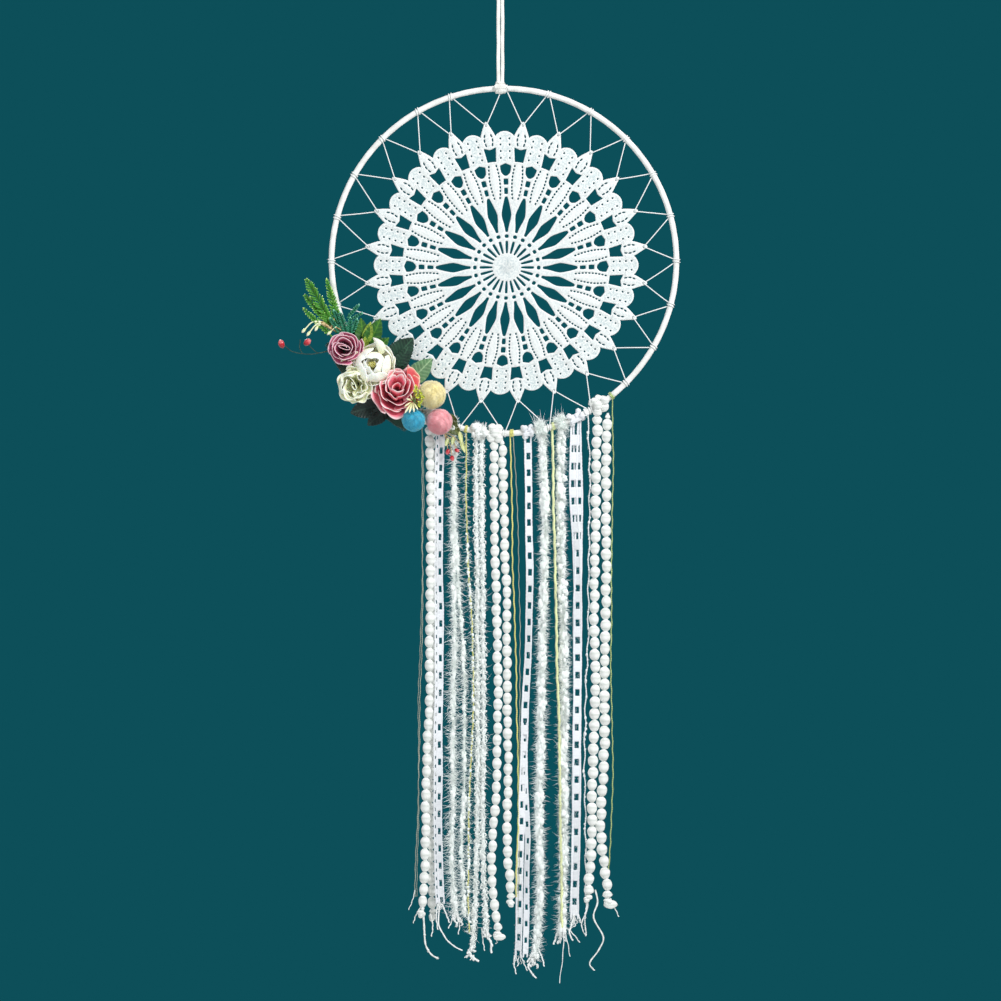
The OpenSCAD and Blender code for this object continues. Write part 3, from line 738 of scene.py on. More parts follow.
# loose threads at the foot of the fringe: points across and below the hoop's centre
TAILS = {
    "gold_thread_left": [(((-76.2, 538), (-78, 546), (-81.5, 555)), 0.4)],
    "ball_trim_left": [(((-69, 560), (-68.2, 572), (-67.6, 582), (-63.6, 592), (-56, 597)), 0.85),
                       (((-71, 552), (-75.5, 560), (-77.5, 566.5)), 0.5),
                       (((-63, 558), (-61, 569), (-62, 578)), 0.6)],
    "ladder_ribbon_left": [(((-55, 550), (-56, 567), (-51, 577.5), (-44.5, 585), (-35.5, 590)), 0.7),
                           (((-53, 550), (-49, 560), (-46.6, 566)), 0.7),
                           (((-57, 550), (-58, 562), (-56.5, 572)), 0.6)],
    "slub_yarn": [(((-41, 556), (-44, 563), (-47.5, 571)), 0.6), (((-40, 556), (-38, 566), (-39, 576)), 0.55)],
    "boucle_yarn": [(((-27, 584), (-29.5, 592), (-25, 597), (-21.5, 599)), 1.2),
                    (((-17, 570), (-14.5, 578), (-11.5, 582), (-10.6, 592)), 1.1),
                    (((-19, 571), (-18, 582), (-16.5, 590)), 0.5)],
    "ladder_yarn": [(((9, 594), (8.6, 602), (10.5, 610)), 0.6), (((14, 592), (16.5, 600), (20, 607)), 0.5)],
    "eyelash_yarn_inner": [(((27, 590), (22.5, 599), (21, 605), (27.5, 613.5)), 0.8),
                           (((29, 588), (32.5, 596), (34.5, 603.5)), 0.7), (((28, 582), (24, 592), (20, 600)), 0.9)],
    "lime_thread": [(((49.4, 566), (51, 578), (50, 594), (47.4, 616.5)), 0.42),
                    (((49.4, 568), (53, 577), (56.4, 594)), 0.4)],
    "eyelash_yarn_outer": [(((50, 570), (55, 572), (60, 577), (65, 583.4)), 0.55),
                           (((48, 570), (45, 577), (42.5, 585)), 0.9)],
    "ladder_ribbon_right": [(((60, 560), (57.5, 568), (56, 575), (59, 581)), 0.8),
                            (((61, 554), (64, 560), (65.5, 566)), 0.6)],
    "thin_boucle": [(((70, 541), (71.6, 553), (67, 564.5), (67, 572), (70.6, 577.5)), 0.6)],
    "ball_trim_right": [(((78, 538), (80, 549), (76.6, 562), (85, 578.5), (81.3, 589), (73.4, 600),
                          (77.3, 607)), 0.75),
                        (((91, 545), (94.5, 553), (98.3, 561)), 0.5)],
}


def bend_at(ob):
    """Bakes a piece's transform into its mesh."""
    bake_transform(ob)


def stray(steps, t):
    """Smooth values through even steps."""
    d = np.array(steps, float)
    slope = np.gradient(d)
    x = np.clip(t, 0, 1) * (len(d) - 1)
    i = np.minimum(x.astype(int), len(d) - 2)
    f = x - i
    return ((2 * f ** 3 - 3 * f ** 2 + 1) * d[i] + (f ** 3 - 2 * f ** 2 + f) * slope[i]
            + (3 * f ** 2 - 2 * f ** 3) * d[i + 1] + (f ** 3 - f ** 2) * slope[i + 1])


def at(x, y, z):
    """A point given across and up from the hoop's centre."""
    return HC + np.array([x, y, z], float)


def bent(*points, n=24):
    """A smooth path through points given across, depth and up from the hoop."""
    P = np.array([at(*p) for p in points])
    P = np.concatenate([2 * P[:1] - P[1:2], P, 2 * P[-1:] - P[-2:-1]])
    out = []
    per = max(n // (len(points) - 1), 4)
    for i in range(1, len(P) - 2):
        for t in np.linspace(0, 1, per, endpoint=False):
            out.append(0.5 * (2 * P[i] + (P[i + 1] - P[i - 1]) * t
                              + (2 * P[i - 1] - 5 * P[i] + 4 * P[i + 1] - P[i + 2]) * t * t
                              + (3 * P[i] - P[i - 1] - 3 * P[i + 1] + P[i + 2]) * t ** 3))
    return np.array(out + [P[-2]])


class Leg:
    """One leg of the fringe: its path, and the shapes that its makers add to."""

    def __init__(self, node, style, number, x, y, end, steps):
        self.node, self.style, self.number, self.y = node, style, number, y
        self.rng = dice(node, 7, number)
        z0, z1 = pivot(node)[2] + (4.5 if style in HOLES else 1.5), HC[2] - end
        path = hang(HC[0] + x, z0, z1, self.rng, 0.8, STEP_DOWN.get(style, 1.6))
        self.t = (z0 - path[:, 2]) / (z0 - z1)
        path[:, 0] += stray(steps, self.t)
        path[:, 1] = path[:, 1] * 0.7 + y * np.clip(self.t * (z0 - z1) / 12, 0, 1)
        self.path = path
        self.body, self.second, self.fluff, self.tips = Shape(), Shape(), Shape(), Shape()

    def fuzz(self, path, per_mm, reach, r, **how):
        fuzz(self.fluff, path, per_mm, reach, r, self.rng, **how)

    def tufts(self, path, per_mm, size, spread, gaps):
        tufts(self.fluff, path, per_mm, size, spread, self.rng, gaps)

    def beside(self, after, drift, depth):
        """A second strand's path, that leaves this one part of the way down."""
        path = self.path[self.t > after].copy()
        q = np.linspace(0, 1, len(path))
        path[:, 0] += drift(q)
        path[:, 1] += depth(q)
        return path


# How a leg is made, by style: each gives the leg's diameter.

def metal(leg):
    path, t, thick = leg.path, leg.t, THREAD_R[leg.style]
    if leg.style == "gold" and leg.number == 1:
        thick = 0.4
    path[:, 0] += 0.25 * np.sin(lengths(path) / 2.3) * np.clip(t * 20, 0, 1)
    plied(leg.body, path, thick, 3.4, 3 if leg.style == "lime" else 2)
    fuzz(leg.body, path, 0.9 if leg.style == "lime" else 0.25, 1.5, 0.12, leg.rng, inner=0.3)
    if leg.node == "gold_thread_mid":
        leg.fuzz(path, 3, 4.6, 0.16, clump=0.3)
        leg.tufts(path[t > 0.2], 0.3, 1.3, 1.0, 0.6)
    if leg.style == "dull":
        apart = np.stack([1.6 * np.sin(t * 7 + 1) * np.clip(t * 6, 0, 1), 0.8 * np.cos(t * 5), 0 * t], 1)
        plied(leg.second, path + apart, 0.32, 3)
    return thick * 2.1


def thin(leg):
    path = leg.path
    path[:, 0] += 0.6 * np.sin(lengths(path) / 4.1) * np.clip(lengths(path) / 20, 0, 1)
    plied(leg.body, path, 0.55, 4)
    tufts(leg.body, path, 0.22, 1.0, 0.5, leg.rng, 0.6)
    fuzz(leg.body, path, 0.5, 1.9, 0.12, leg.rng, inner=0.3)
    return 1.4


def balls(leg):
    beads(leg.body, leg.path, BALL_R[leg.node], BALL_PITCH, leg.rng, 0.5 * leg.number)
    return 1.86 * BALL_R[leg.node]


def holed(leg):
    w, columns, wring = HOLES[leg.style]
    phase = leg.rng.uniform(0, TAU)
    ladder(leg.body, leg.path, w, columns,
           lambda q: wring * np.sin(TAU * 1.7 * q + phase) * np.clip(q * 6, 0, 1))
    if leg.style == "ladder_small":
        part = leg.beside(0.55, lambda q: 6.2 * np.clip(q * 2, 0, 1) ** 1.5, lambda q: 1.3)
        ladder(leg.second, part, 5, [(0, 2.6, 4.6, 14.2, 4)], lambda q: 0.6 * np.sin(TAU * q + 1))
    leg.fuzz(leg.path, 0.5, 3.4, 0.12, inner=1.5, bend=0.8)
    return w


def boucle(leg):
    path = leg.path
    tube(leg.body, path, 1.15 * (1 + 0.3 * np.sin(lengths(path) * 1.3)), 8)
    loops(leg.fluff, path, 0.85, 1.6, 0.55, leg.rng)
    leg.tufts(path, 0.5, 1.9, 1.1, 0.85)
    leg.fuzz(path, 3, 4.4, 0.18, inner=1.0, clump=0.75)
    leg.fuzz(path[leg.t > 0.3], 0.7, 10, 0.16, droop=0.2, bend=0.8)
    return 3.6


def slub(leg):
    path = leg.path
    plied(leg.body, path, 1.3, 5.5)
    leg.tufts(path, 0.9, 1.9, 1.7, 0.8)
    leg.fuzz(path, 8, 4.4, 0.23, clump=0.7)
    leg.fuzz(path, 2.4, 9.5, 0.17, droop=0.2, bend=0.7)
    leg.fuzz(path[leg.t > 0.4], 1.6, 13, 0.17, droop=0.1, bend=0.8)
    side = leg.beside(0.12, lambda q: 10 * np.clip(q * 2.2, 0, 1) ** 1.3 - 2 * q ** 3,
                      lambda q: 1.5 * np.sin(q * 5))
    plied(leg.second, side, 0.9, 4.5)
    leg.tufts(side, 0.7, 1.7, 1.3, 0.85)
    leg.fuzz(side, 6, 3.8, 0.21, clump=0.75)
    leg.fuzz(side, 2.2, 9, 0.16, droop=0.2, bend=0.7)
    return 2.8


def eyelash(leg):
    path = leg.path
    plied(leg.body, path, 1.3, 5.5)
    leg.tufts(path, 1.5, 2.3, 3.2 if leg.node == "eyelash_yarn_outer" else 2.5, 0.6)
    leg.fuzz(path, 12, 5.4, 0.24, droop=0.5, inner=1.0, clump=0.5)
    leg.fuzz(path, 2.6, 9, 0.17, droop=0.3, bend=0.7)
    leg.fuzz(path[leg.t > 0.35], 1.7, 10, 0.17, droop=0.1, bend=0.8)
    return 2.8


MAKERS = {"balls": balls, "thin": thin, "boucle": boucle, "slub": slub, "eyelash": eyelash,
          **dict.fromkeys(THREAD_R, metal), **dict.fromkeys(HOLES, holed)}


def leg_end(leg):
    """The knot or the frayed threads at a leg's foot, and the long loose ones."""
    rng, tips, tip = leg.rng, leg.tips, leg.path[-1]
    if leg.style == "balls":
        for k in range(3):
            ball(tips, tip + np.array([rng.uniform(-1.6, 1.6), rng.uniform(-1, 1), -1.2 - k * 1.3]),
                 (3.1 - k * 0.4, 2.6, 2.2), rng, lump=0.15)
        if leg.node == "ball_trim_right" and leg.number == 1:
            ball(tips, tip + [2.2, 0, -4.6], (5.4, 2.8, 3.6), rng, 18, 12, 0.1)
        if leg.node == "ball_trim_mid" and leg.number == 0:
            ball(tips, tip + [1.2, 0, -4.0], (5.2, 3, 2.9), rng, 18, 12, 0.12)
            curl(tips, tip + [-0.5, 0, -5], (-0.2, 0, -1), 5, 0.4, rng, 1)
    elif leg.style in HOLES:
        for k in range(7):
            curl(tips, tip + [rng.uniform(-3, 3), rng.uniform(-0.6, 0.6), 1.5],
                 (rng.uniform(-0.5, 0.5), rng.uniform(-0.3, 0.3), -1), rng.uniform(4, 10), 0.34, rng, 1.2, 5)
    elif leg.style in ("boucle", "slub", "eyelash"):
        for k in range(4):
            p = curl(tips, tip + [rng.uniform(-1.5, 1.5), rng.uniform(-1, 1), 2],
                     (rng.uniform(-0.7, 0.7), 0, -1), rng.uniform(5, 12), 0.6, rng, 1.8)
            tufts(tips, p, 0.45, 1.2, 0.6, rng)
    if leg.number == 0:
        for points, r in TAILS.get(leg.node, ()):
            # the ends fan apart in depth
            p = bent(*[(q[0], leg.y * (1 + k) + 0.8 * math.sin(k * 2.1), -q[1]) for k, q in enumerate(points)],
                     n=30)
            k = np.linspace(0, 1, len(p))
            p[:, 0] += 0.35 * np.sin(k * 19) * k
            tube(tips, p, r * (1 - 0.25 * k + 0.12 * np.sin(k * 41)), 7)
            if r > 0.75:
                tufts(tips, p, 0.3, r * 1.25, 0.3, rng, 0.5)


def fringe_leg(node, style, number, *place):
    leg = Leg(node, style, number, *place)
    diameter = MAKERS[style](leg)
    leg_end(leg)
    name = f"{node}_{number + 1}"
    mat = DULL if style == "gold" and number == 1 else STYLE_MAT[style]
    ob = make(name, leg.body, mat, None)
    bend_at(ob)
    partners = []
    for ending, shape, look in (("second", leg.second, mat), ("fluff", leg.fluff, FLUFF_MAT.get(style, MINT_HAIR))):
        if shape.n:
            partners.append(make(f"{name}_{ending}", shape, look, None))
            bend_at(partners[-1])
    far = "knot" if style == "balls" else "bare"
    if leg.tips.n:
        partners.append(make(name + "_end", leg.tips, mat if far == "knot" else THREAD, node))
    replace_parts(ob, node)


for node_name, (leg_style, legs) in LEGS.items():
    for index, place in enumerate(legs):
        fringe_leg(node_name, leg_style, index, *place)


# ---- Knots on the hoop ----

def coil(shape, a, w, turns, r, flat=1.0, phase=0.0, wobble=0.0):
    """Turns of yarn round the tube at hoop angle a, w wide along it."""
    n = int(turns * 18) + 1
    t = np.linspace(0, 1, n)
    phi = phase + t * turns * TAU
    aa = a + (t - 0.5) * (w - 2 * r) / HOOP
    rho = TUBE + 0.15 + r * flat + (wobble * np.sin(t * 31) if wobble else 0)
    path = on_hoop(aa, rho, phi)
    if flat != 1:
        centre = on_hoop(aa)
        wide = np.cross(path - centre, np.gradient(path, axis=0))
        ribbon(shape, path, unit(wide), r, r * flat)
    else:
        tube(shape, path, r, 8)


def knot(node, style):
    """One yarn's turns on the hoop, a bar over them in front, and what it bunches up into."""
    rng = dice(node, 3, 5)
    lo, hi = box(node + "_knot")
    mid = (lo + hi) / 2 - HC
    a = math.atan2(mid[2], mid[0])
    slope = abs(math.cos(a))
    reach = (hi - lo)[0] / max(math.sin(-a), 0.3)
    w = max(reach - 8.6 * slope, 1.8)
    s = Shape()
    mats = {"gold": GOLD, "dull": DULL, "lime": LIME, "sage": SAGE}
    if style in mats or style == "thin":
        r = 0.42 if style != "thin" else 0.6
        coil(s, a, max(w, 2.6), 2.6, r, phase=0.4)
        bar = np.linspace(-1.5, 1.5, 7)
        tube(s, on_hoop(a + bar / HOOP, TUBE + 1.5, 1.15 - 0.25 * (bar / 1.5) ** 2), r, 7)
    elif style in HOLES:
        for side in (-1, 1):
            coil(s, a + side * w * 0.25 / HOOP, w * 0.5, 1.1, w * 0.23, 0.22, phase=-1.2)
        bar = np.linspace(-w * 0.6, w * 0.6, 9)
        path = on_hoop(a + bar / HOOP, TUBE + 2.3, 1.1 - 0.2 * (bar / w) ** 2)
        ribbon(s, path, np.tile([0, -0.3, 1.0], (9, 1)), 1.9, 0.7)
        for k in range(6):
            ball(s,
                 on_hoop(a + (0.62 if k % 2 else -0.62) * w / HOOP * rng.uniform(0.6, 1), TUBE + 1.7, 0.3 + k * 1.05),
                 rng.uniform(2.0, 2.9), rng, 12, 8, 0.2)
    elif style == "balls":
        coil(s, a, w, 2.2, 1.2, phase=0.2, wobble=0.15)
        count = 3 if w < 9 else 4
        for k in range(count):
            aa = a + ((k + 0.5) / count - 0.5) * w * 1.15 / HOOP
            phi = 1.15 + (0.5 if k % 2 else -0.55)
            ball(s, on_hoop(aa, TUBE + 2.5, phi), (3.9, 3.0, 3.8), rng, lump=0.12)
            ball(s, on_hoop(aa, TUBE + 2.2, phi + 2.6), (3.3, 2.8, 3.3), rng, lump=0.12)
        for aa, phi in ((a, 0.1), (a + 1.5 / HOOP, math.pi * 0.97), (a - 2.5 / HOOP, math.pi * 0.9)):
            ball(s, on_hoop(aa, TUBE + 2.0, phi), (3.4, 2.8, 3.2), rng, lump=0.12)
    else:
        coil(s, a, w, 2.6, 1.35, phase=0.3, wobble=0.25)
        bar = np.linspace(-w * 0.5, w * 0.5, 9)
        tube(s, on_hoop(a + bar / HOOP, TUBE + 2.5, 1.15 - 0.3 * (bar / w) ** 2), 1.3, 8)
        for k in range(16 if style == "boucle" else 9):
            aa = a + rng.uniform(-0.6, 0.6) * w / HOOP
            ball(s, on_hoop(aa, TUBE + 2.0, rng.uniform(0, TAU)), rng.uniform(1.9, 3.2 if style == "boucle" else 2.6),
                 rng, lump=0.25)
        n = 620 if style == "eyelash" else 320
        aa = a + rng.uniform(-0.55, 0.55, n) * w / HOOP
        phi = rng.uniform(0, TAU, n)
        root = on_hoop(aa, TUBE + 1.6, phi)
        out = unit(root - on_hoop(aa)) + rng.normal(0, 0.5, (n, 3))
        long = rng.uniform(2.5, 6.0, n) * np.where((rng.uniform(size=n) < 0.12) & (style == "eyelash"), 2.3, 1)
        fluff = Shape()
        hairs(fluff, root, out, long, 0.17, rng.uniform(-0.5, 0.5, n), rng)
        make(node + "_knot_fluff", fluff, MINT_HAIR if style != "boucle" else WHITE_HAIR)
    mat = mats.get(style, STYLE_MAT.get(style))
    put_for(node + "_knot", "yarn", s, mat)


for node_name, (leg_style, _) in LEGS.items():
    knot(node_name, leg_style)


# ---- Hanger ----

def hanger():
    """One flat suede lace: up from the hitch, round the hanging eye and back."""
    lo, hi = box("hanging_strap")
    foot, top = lo[2], hi[2]
    eye = (hi - lo)[0] / 2 - 1.5
    crown = top - 1.5 - eye
    half = 1.75
    z = np.linspace(foot - 3, crown - 19, 34)
    wave = 0.12 * np.sin(z / 5.3)
    left = np.stack([np.full_like(z, -half) + wave, np.full_like(z, 0.05) + wave * 0.5, z], 1)
    k = np.linspace(0, 1, 12)[1:-1]
    ease = k * k * (3 - 2 * k)
    flare = np.stack([-half - (eye - half) * ease, 0 * k, crown - 19 + 19 * k], 1)
    q = np.linspace(math.pi, 0, 25)
    arch = np.stack([eye * np.cos(q), 0 * q, crown + eye * np.sin(q)], 1)
    path = np.concatenate([left, flare, arch, flare[::-1] * [-1, 1, 1], left[::-1] * [-1, 1, 1]])
    t = unit(np.gradient(path, axis=0))
    wide = np.cross(t, np.tile([0, 1.0, 0], (len(path), 1)))
    s = Shape()
    ribbon(s, path, wide, 1.5 * (1 + 0.02 * np.sin(lengths(path) / 3.1)), 0.82)
    ob = make("hanging_strap_lace", s, SUEDE, None)
    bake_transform(ob)
    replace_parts(ob, "hanging_strap")


def hitch():
    """The lace's lark's head: two turns over the hoop and a bridge in front."""
    lo, hi = box("hanger_hitch")
    mid = (lo + hi) / 2
    a = math.atan2((mid - HC)[2], (mid - HC)[0])
    top = hi[2]
    s = Shape()
    q = np.linspace(0, TAU, 34, endpoint=True)
    path = on_hoop(np.full_like(q, a), TUBE + 1.45, q)
    ribbon(s, path, np.tile(unit(on_hoop(a + 0.01) - on_hoop(a - 0.01)), (len(path), 1)), 2.1, 0.8)
    for side in (-1, 1):
        aa = a - side * 2.9 / HOOP
        q = np.linspace(-0.62 * math.pi, 1.32 * math.pi, 30)
        path = on_hoop(np.full_like(q, aa) + side * 0.1 * np.sin(q) / HOOP, TUBE + 1.15, q)
        throat = np.array([mid[0] + side * 1.6, 0, top + 0.3])
        head, tail = path[0], path[-1]
        wide = unit(on_hoop(aa + 0.01) - on_hoop(aa - 0.01))
        ribbon(s, path, np.tile(wide, (len(path), 1)), 1.5, 0.7)
        for end, y in ((head, 1.3), (tail, -1.5)):
            k = np.linspace(0, 1, 12)[:, None]
            ctrl = np.array([end[0], end[1] * 0.9, end[2] + 2.0])
            run = (1 - k) ** 2 * end + 2 * k * (1 - k) * ctrl + k * k * (throat + [0, y * 0.25, 0])
            ribbon(s, run, np.tile(wide, (12, 1)), 1.5 - 0.25 * np.sin(math.pi * k[:, 0]), 0.65)
    bar = np.linspace(-5.0, 5.0, 17)
    lift = 0.5 * (bar / 5) ** 2
    path = on_hoop(a + bar / HOOP, TUBE + 2.35 - lift, np.full_like(bar, 1.35))
    ribbon(s, path, np.tile([0.5, -0.25, 1.0], (17, 1)), 2.3 - 0.7 * abs(bar / 5), 0.75)
    q = np.linspace(0, TAU, 22, endpoint=False)
    ring = np.stack([mid[0] - 0.3 + 3.1 * np.cos(q), 1.9 * np.sin(q), top - 0.7 + 0.3 * np.sin(q)], 1)
    tube(s, ring, 0.8, 8, closed=True)
    put_for("hanger_hitch", "lace", s, SUEDE, "hitch")


hanger()
hitch()


# ---- Hoop ----

def winding():
    """Suede lace wound round the ring, each turn lapping the one before."""
    turns, per = 310, 8
    n, sides = turns * per, 16
    aa = np.linspace(0, TAU, n, endpoint=False)[:, None] + math.pi / 2
    phi = np.linspace(0, TAU, sides, endpoint=False)[None, :]
    turn = (aa - math.pi / 2) / TAU * turns + phi / TAU
    f = turn - np.floor(turn)
    skew = 0.04 * np.sin(np.floor(turn) * 2.4) + 0.03 * np.sin(np.floor(turn) * 0.7)
    lap = np.exp(-((f - 0.12 - skew) / 0.09) ** 2) - 0.7 * np.exp(-((f - 0.97) / 0.05) ** 2)
    rho = TUBE * (0.955 + 0.045 * lap) + 0.05 * np.sin(turn * 1.3)
    v = on_hoop(np.broadcast_to(aa, rho.shape), rho, np.broadcast_to(phi, rho.shape))
    quads = cells(n, sides, loop=True)[:, TURNED]
    s = Shape().add(v.reshape(-1, 3), [quads], 0.5, np.broadcast_to(aa * HOOP, rho.shape).ravel())
    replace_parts(make("hoop_winding", s, SUEDE_WRAP), "hoop_wrap")
    ring = frame["nodes"]["hoop_ring"]
    ring.data.materials.clear()
    ring.data.materials.append(steel())


winding()


# ---- Doily ----

LACE_R = 124  # the radius its sag and ripples are reckoned against
GRID = 1.15  # between the points that fill the cloth
REPEATS = 24
STEP = TAU / REPEATS
lo, hi = box("lace_doily")
DC = (lo + hi) / 2 + [0.4, 0, -1.2]
RIM = (hi - lo)[2] / 2


def pull(x, z):
    """The tight lacing draws the lower edge of the lace up and aside, and its left
    edge in; x and z from the middle of the lace."""
    r, a = np.hypot(x, z), np.arctan2(z, x)
    below = np.clip(-np.sin(a), 0, 1) ** 1.2 * (r / LACE_R) ** 1.3
    left = np.clip(-np.cos(a), 0, 1) ** 2 * (r / LACE_R) ** 2
    return x - 4.6 * below * (0.5 + 0.5 * np.cos(a - math.radians(290))) + 3.2 * left, z + 4.6 * below


def at_axis(points, turn):
    """(across, out) in millimetres about a repeat's axis, turned to its place."""
    c, s = math.cos(turn), math.sin(turn)
    return [(x * c + y * s, -x * s + y * c) for x, y in points]


def dense(points, step=1.1):
    out = []
    for (x0, y0), (x1, y1) in zip(points, points[1:]):
        n = max(int(math.hypot(x1 - x0, y1 - y0) / step), 1)
        out += [(x0 + (x1 - x0) * k / n, y0 + (y1 - y0) * k / n) for k in range(n)]
    return out + [points[-1]]


def oval(x, y, a, b, n=8, turn=0.0):
    return [(x + a * math.cos(TAU * k / n) * math.cos(turn) - b * math.sin(TAU * k / n) * math.sin(turn),
             y + a * math.cos(TAU * k / n) * math.sin(turn) + b * math.sin(TAU * k / n) * math.cos(turn))
            for k in range(n)]


EDGE, SWELL = 0.16, 0.44  # half the cloth at a cut edge, and how much more it has inside
HALF = STEP / 2
HUB = 11.0  # radius of the closed middle

# the half holes on the block's axis, from its outer end inward
CUTS = [[(0, 88.4), (-2.6, 87.3), (-4.9, 86.2), (-4.5, 83), (-3.8, 80.4), (-1.6, 78.3), (0, 77.8)],
        [(0, 75.7), (-1.9, 75.6), (-2.1, 73), (-1.9, 70.7), (0, 70.6)],
        [(0, 68.1), (-1.5, 68), (-1.7, 66), (-1.5, 62.9), (0, 62.8)],
        [(0, 60.9), (-1.1, 60.4), (-1.9, 58), (-2.8, 54), (-3.9, 48.5), (-4.2, 45.5), (-3.5, 41.5),
         (-2.3, 37.5), (-1.5, 34), (-1.1, 31), (0, 30.5)],
        [(0, 28.6), (-1.35, 28.3), (-1.75, 27), (-1.35, 25.7), (0, 25.4)],
        [(0, 23.0), (-1.05, 22.6), (-1.15, 19.6), (-1.0, 15.4), (-0.7, 12.4), (0, 12)]]


def outline():
    """Round half a repeat, from the axis of a point to the axis of the block beside it."""
    # the axis of the point, with the square hole and the eyelet cut out of it
    left = dense([(0, HUB), (0, 60), (0, 89.8)])
    left += dense([(0, 89.8), (3.7, 89.6), (4.3, 94), (4.9, 98), (5.4, 101.4), (3.4, 100.9), (1.6, 100.2),
                   (0, 99.8)])[1:]
    left += dense([(0, 99.8), (0, RIM - 4.3)])[1:]
    left += [(0.7, RIM - 4.0), (0.95, RIM - 3.3), (0.7, RIM - 2.6), (0, RIM - 2.3)]
    left += dense([(0, RIM - 2.3), (0, RIM)])[1:]
    # round the point, down to the notch and over the block's scallop
    edge = dense([(0, RIM), (0.9, RIM - 0.5), (1.7, RIM - 1.8), (2.4, RIM - 3.6), (3.6, RIM - 6), (4.6, RIM - 8.2),
                  (5.6, RIM - 10.4), (6.45, RIM - 12.9)])
    for k in range(1, 9):
        t = k / 8
        ang = math.radians(3.35 + (7.5 - 3.35) * t)
        r = RIM - 12.6 + 3.8 * math.sin(t * math.pi / 2) ** 0.75
        edge.append((r * math.sin(ang), r * math.cos(ang)))
    # down the block's axis past its holes
    down = dense([(0, RIM - 8.8), CUTS[0][0]])
    for hole, then in zip(CUTS, [cut[0] for cut in CUTS[1:]] + [(0, HUB)]):
        down += dense(hole, 0.9)[1:] + dense([hole[-1], then])[1:]
    arc = [(HUB * math.sin(HALF * t), HUB * math.cos(HALF * t)) for t in (0.75, 0.5, 0.25)]
    return left + edge[1:-1] + at_axis(down, HALF) + arc


def small_holes():
    """Ladder holes round the leaf, the dashed slots and the block's needle holes."""
    ladder_x = (2.5, 3.1, 3.6, 3.95, 4.2, 4.35, 4.3, 4.1, 3.75, 3.3)
    slots = ((104, 2.85, -0.25), (107.7, 3.5, 0.03), (111.4, 2.9, 0.3))
    return ([oval(x, 59.6 + 2.95 * k, 0.78, 1.1, 9, -0.12 if k < 4 else 0.08) for k, x in enumerate(ladder_x)]
            + [oval(x, r, 0.72, 1.6, 9, lean) for r, x, lean in slots]
            + [at_axis(oval(-3.9, r, 0.8, 0.95, 8), HALF) for r in (92.6, 98.2, 103.6, 108.6)])


def from_block(q):
    """Distance from the block's axis."""
    return abs(q[:, 0] * math.cos(HALF) - q[:, 1] * math.sin(HALF))


def from_axes(q):
    """Distance from the nearer of the half repeat's two axes."""
    return np.minimum(abs(q[:, 0]), from_block(q))


def on_hub(q, within):
    """Whether each point lies on the rim of the closed middle."""
    return abs(np.hypot(*q.T) - HUB) < within


def inside(q, loop):
    """Whether each point lies inside a closed loop."""
    L = np.array(loop)
    x, y = q[:, 0][:, None], q[:, 1][:, None]
    x0, y0 = L.T
    x1, y1 = np.roll(L, -1, 0).T
    hit = ((y0 > y) != (y1 > y)) & (x < (x1 - x0) * (y - y0) / np.where(y1 == y0, 1e-9, y1 - y0) + x0)
    return hit.sum(1) % 2 == 1


